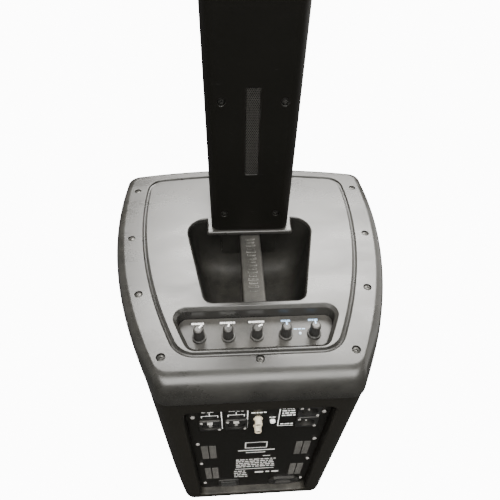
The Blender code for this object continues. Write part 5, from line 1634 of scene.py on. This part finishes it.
@dataclass
class Column:
    """Plug-in column: the lower casing, the speaker section on top, and their screws."""

    width: float = 0.102
    depth: float = 0.115
    middle_y: float = -0.0988
    corner: float = 0.012
    wall: float = 0.0045
    length: float = 0.810
    foot: float = 0.3833
    screw_x: float = 0.0331
    screw_end: float = 0.0285
    rows: int = 6

    @property
    def rear(self) -> float:
        """Rear face of the column."""
        return self.middle_y + self.depth / 2

    def outline(self, inset: float) -> list[Point2]:
        """Column outline moved in by inset."""
        return rounded(self.width - 2 * inset, self.depth - 2 * inset, max(self.corner - inset, 0.002), 12,
                       (0.0, self.middle_y))

    def tube(self, name: str, low: float) -> bpy.types.Object:
        """Casing with softened ends.

        Args:
            name: Name of the piece.
            low: Height of its lower end.

        Returns:
            The casing.
        """
        high = low + self.length
        loops: list[Loop] = []
        for turn in range(4):
            angle = math.pi / 2 * turn / 3
            loops.append(at_z(self.outline(0.0008 * (1 - math.sin(angle))),
                              low + 0.0008 * (1 - math.cos(angle))))
        for turn in range(4):
            angle = math.pi / 2 * turn / 3
            loops.append(at_z(self.outline(0.0008 * (1 - math.cos(angle))),
                              high - 0.0008 * (1 - math.sin(angle))))
        body = lofted(name, loops)
        boolean(body, lofted("cut", [at_z(self.outline(self.wall), low - 0.01),
                                     at_z(self.outline(self.wall), high + 0.01)]))
        return body

    def screw_places(self, low: float) -> list[Point2]:
        """Screw places on a casing's rear, as (x, z)."""
        step = (self.length - 2 * self.screw_end) / (self.rows - 1)
        return [(side * self.screw_x,
                 low + self.screw_end + step * row) for row in range(self.rows) for side in (-1, 1)]

    def recesses(self, body: bpy.types.Object, low: float) -> None:
        """Sink the screw recesses, each with a soft mouth.

        Args:
            body: The casing.
            low: Height of its lower end.
        """
        for x, z in self.screw_places(low):
            tool = spun("cut", [(0.0, -0.003), (0.0043, -0.003), (0.0043, -0.0004), (0.0047, 0.0),
                                (0.0047, 0.01), (0.0, 0.01)], 28)
            tool.data.transform(Facing.REAR.at((x, self.rear, z)))
            boolean(body, tool)

    def halve(self, body: bpy.types.Object, keep_rear: bool) -> None:
        """Cut a casing along its middle and keep one half.

        Args:
            body: The casing.
            keep_rear: Whether the rear half stays.
        """
        select_only(body)
        bpy.ops.object.mode_set(mode="EDIT")
        bpy.ops.mesh.select_all(action="SELECT")
        gap = 0.00015 if keep_rear else -0.00015
        bpy.ops.mesh.bisect(plane_co=(0.0, self.middle_y + gap, 0.0), plane_no=(0.0, 1.0, 0.0),
                            use_fill=True, clear_inner=keep_rear, clear_outer=not keep_rear)
        bpy.ops.object.mode_set(mode="OBJECT")
        mend(body)

    def lower(self) -> None:
        """Lower casing halves and the vent strip."""
        rear = self.tube("column_rear", self.foot)
        self.halve(rear, True)
        self.recesses(rear, self.foot)
        low = self.foot + 0.089
        window = rounded(0.015, 0.105, 0.0016, 5, (0.0, low + 0.0525))
        boolean(rear, lofted("cut", [at_y(window, self.rear - 0.02), at_y(window, self.rear - 0.0004),
                                     at_y(offset(window, 0.0004), self.rear),
                                     at_y(offset(window, 0.0004), self.rear + 0.01)]))
        settle(rear, Look.COLUMN, Body.LOWER, ("lower_rear_casing",), 34.0)
        front = self.tube("column_front", self.foot)
        self.halve(front, False)
        settle(front, Look.COLUMN, Body.LOWER, ("lower_front_casing",), 34.0)
        strip = slab("vent_panel", (-0.0072, self.rear - 0.0032, low + 0.0003),
                     (0.0072, self.rear - 0.0005, low + 0.1047), 0.0004)
        settle(strip, Look.VENT, Body.LOWER, ("vent_strip",))

    def upper(self) -> None:
        """Speaker section's casing, grille and cap."""
        low = self.foot + self.length + 0.0003
        high = low + self.length
        front = self.middle_y - self.depth / 2
        body = self.tube("array_body", low)
        window = rounded(0.090, self.length - 0.012, 0.004, 5, (0.0, (low + high) / 2))
        boolean(body, lofted("cut", [at_y(window, front - 0.01), at_y(window, front + 0.012)]))
        self.recesses(body, low)
        settle(body, Look.COLUMN, Body.UPPER, ("array_casing",), 34.0)
        face = rounded(0.0892, self.length - 0.013, 0.0038, 6, (0.0, (low + high) / 2))
        grille = lofted("array_mesh", [at_y(face, front + 0.0016), at_y(face, front + 0.0006),
                                       at_y(offset(face, -0.0004), front + 0.0003)])
        settle(grille, Look.MESH, Body.UPPER, ("array_grille",))
        loops = [at_z(self.outline(0.0), high + 0.0003), at_z(self.outline(0.0), high + 0.0040),
                 at_z(self.outline(0.0005), high + 0.0052), at_z(self.outline(0.0018), high + 0.0060)]
        cap = lofted("array_lid", loops)
        plug = self.outline(self.wall + 0.0003)
        boolean(cap, lofted("add", [at_z(plug, high - 0.010), at_z(plug, high + 0.002)]), "UNION")
        settle(cap, Look.COLUMN, Body.UPPER, ("array_cap",), 40.0)

    def screws(self) -> None:
        """Black screws of both sections."""
        kind = Screw(0.0036, 0.0008, 0.0040, 0.0009)
        kind.make("column_screw")
        for body, low, label in ((Body.LOWER, self.foot, "lower"),
                                 (Body.UPPER, self.foot + self.length + 0.0003, "upper")):
            heads = [kind.at("head", Facing.REAR.at((x, self.rear - 0.0020, z), index * 0.8))
                     for index, (x, z) in enumerate(self.screw_places(low))]
            settle(joined(f"{label}_column_screws", heads), Look.BLACK_STEEL, body)
        kind.done()

    def build(self) -> None:
        """Build every piece of the column."""
        self.lower()
        self.upper()
        self.screws()


# ------------------------------------------------------------------ carried-over pieces
CARRIED: dict[str, Look] = {
    "front_baffle": Look.BOARD, "column_socket": Look.LINER, "mixer_board": Look.CIRCUIT,
    "amp_board": Look.CIRCUIT, "heat_sink": Look.ALUMINIUM, "power_supply": Look.ALUMINIUM,
    "woofer_frame": Look.ALUMINIUM, "woofer_magnet": Look.MAGNET, "woofer_cone": Look.PAPER,
    "woofer_surround": Look.RUBBER, "port_tube": Look.JACK, "lower_spigot": Look.COLUMN,
    "lower_top_socket": Look.COLUMN, "array_spigot": Look.COLUMN, "driver_board": Look.BOARD,
    **{f"array_driver_{n}": Look.PAPER for n in range(1, 7)},
    **{f"level_pot_{n}": Look.STEEL for n in range(1, 6)},
}


def dress_carried() -> None:
    """Give each CAD node that still shows its finish."""
    for name, look in CARRIED.items():
        PALETTE.dress(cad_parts[name], look)
    LOG.info("dressed %d carried-over nodes", len(CARRIED))


@dataclass(frozen=True)
class Lamp:
    """One soft rectangular lamp that the camera doesn't see.

    Attributes:
        name: Name of the lamp.
        spot: Where it stands.
        aim: Where it looks.
        size: Its two sides.
        power: Its power in watts.
        mirrored: Whether glossy faces reflect it.
        colour: Colour of its light.
    """

    name: str
    spot: Point3
    aim: Point3
    size: tuple[float, float]
    power: float
    mirrored: bool = True
    colour: Point3 = (1.0, 0.982, 0.945)

    def make(self) -> None:
        """Add the lamp to the stage."""
        data = bpy.data.lights.new(self.name, "AREA")
        data.color = self.colour
        data.shape = "RECTANGLE"
        data.size, data.size_y = self.size
        data.energy = self.power
        obj = bpy.data.objects.new(self.name, data)
        way = Vector(self.aim) - Vector(self.spot)
        turn = way.to_track_quat("-Z", "Y").to_matrix().to_4x4()
        obj.matrix_world = Matrix.Translation(self.spot) @ turn
        bpy.context.scene.collection.objects.link(obj)
        obj.visible_camera = False
        obj.visible_glossy = self.mirrored


LAMPS = (
    Lamp("overhead", (-0.46, -2.26, 3.0), (-0.46, -2.25, 0.0), (2.6, 2.0), 540.0),
    Lamp("roll_strip", (-0.1, 1.25, 3.0), (-0.1, 1.24, 0.0), (3.0, 1.5), 210.0),
    Lamp("rear_fill", (0.3, 3.0, 2.2), (0.0, 0.1, 0.25), (3.0, 2.0), 130.0, False),
    Lamp("front_fill", (0.6, -3.0, 1.4), (0.0, -0.1, 0.7), (2.4, 2.0), 110.0, False),
    Lamp("right_side", (-1.5, -0.4, 0.75), (0.0, -0.1, 0.45), (1.8, 1.5), 16.0),
    Lamp("left_side", (1.6, -0.2, 0.75), (0.0, -0.1, 0.45), (1.8, 1.5), 3.0),
)


@dataclass
class Studio:
    """Floor, light and camera."""

    camera_spot: Point3 = (0.0301, 0.3622, 0.7624)
    camera_turn: Point3 = (0.0707, 2.8709, -1.1601)
    sensor_mm: float = 36.0
    lens_mm: float = 29.82888
    lens_shift: float = -0.0039
    nearest: float = 0.02
    farthest: float = 60.0
    floor_size: float = 30.0
    floor_rough: float = 0.85
    floor_return: float = 0.03
    surround: float = 0.035
    white: float = 12.0

    def camera(self) -> None:
        """Camera with its rows of right, down and forward given as a rotation vector."""
        turn = Vector(self.camera_turn)
        rows = Matrix.Rotation(turn.length, 3, turn.normalized())
        right, down, ahead = (Vector(row) for row in rows)
        data = bpy.data.cameras.new("camera")
        data.sensor_width = self.sensor_mm
        data.lens = self.lens_mm
        data.shift_x = self.lens_shift
        data.clip_start = self.nearest
        data.clip_end = self.farthest
        obj = bpy.data.objects.new("camera", data)
        columns = Matrix((right, -down, -ahead)).transposed()
        obj.matrix_world = Matrix.Translation(self.camera_spot) @ columns.to_4x4()
        bpy.context.scene.collection.objects.link(obj)
        bpy.context.scene.camera = obj

    def floor(self) -> None:
        """Wide pale floor that looks white and gives little light back."""
        bpy.ops.object.select_all(action="DESELECT")
        bpy.ops.mesh.primitive_plane_add(size=self.floor_size)
        plane = named("floor")
        made = bpy.data.materials.new("floor_white")
        made.use_nodes = True
        n = Nodes(made.node_tree)
        shader = made.node_tree.nodes["Principled BSDF"]
        shader.inputs["Base Color"].default_value = (self.floor_return,) * 3 + (1.0,)
        shader.inputs["Roughness"].default_value = self.floor_rough
        shader.inputs["Specular IOR Level"].default_value = 0.0
        white = n.add("ShaderNodeEmission")
        white.inputs["Color"].default_value = (1.0, 1.0, 0.995, 1.0)
        white.inputs["Strength"].default_value = self.white
        mix = n.add("ShaderNodeMixShader")
        n.link(n.add("ShaderNodeLightPath").outputs["Is Camera Ray"], mix.inputs[0])
        n.link(shader.outputs["BSDF"], mix.inputs[1])
        n.link(white.outputs["Emission"], mix.inputs[2])
        n.link(mix.outputs["Shader"], made.node_tree.nodes["Material Output"].inputs["Surface"])
        plane.data.materials.append(made)

    def world(self) -> None:
        """Even white surround."""
        made = bpy.data.worlds.new("surround")
        made.use_nodes = True
        n = Nodes(made.node_tree)
        back = made.node_tree.nodes["Background"]
        back.inputs["Color"].default_value = (1.0, 1.0, 1.0, 1.0)
        seen = n.add("ShaderNodeLightPath").outputs["Is Camera Ray"]
        strength = n.math("ADD", n.math("MULTIPLY", seen, self.white), self.surround)
        n.link(strength, back.inputs["Strength"])
        bpy.context.scene.world = made

    def build(self) -> None:
        """Set up the stage."""
        self.world()
        self.floor()
        for lamp in LAMPS:
            lamp.make()
        self.camera()


def main() -> None:
    """Build the object and its stage."""
    logging.basicConfig(level=logging.INFO, format="%(name)s %(message)s")
    cap = TopCap()
    Cabinet().build()
    cap.build()
    Mixer().build(cap)
    ConnectorPlate().build()
    Column().build()
    dress_carried()
    Studio().build()


if __name__ == "__main__":
    main()
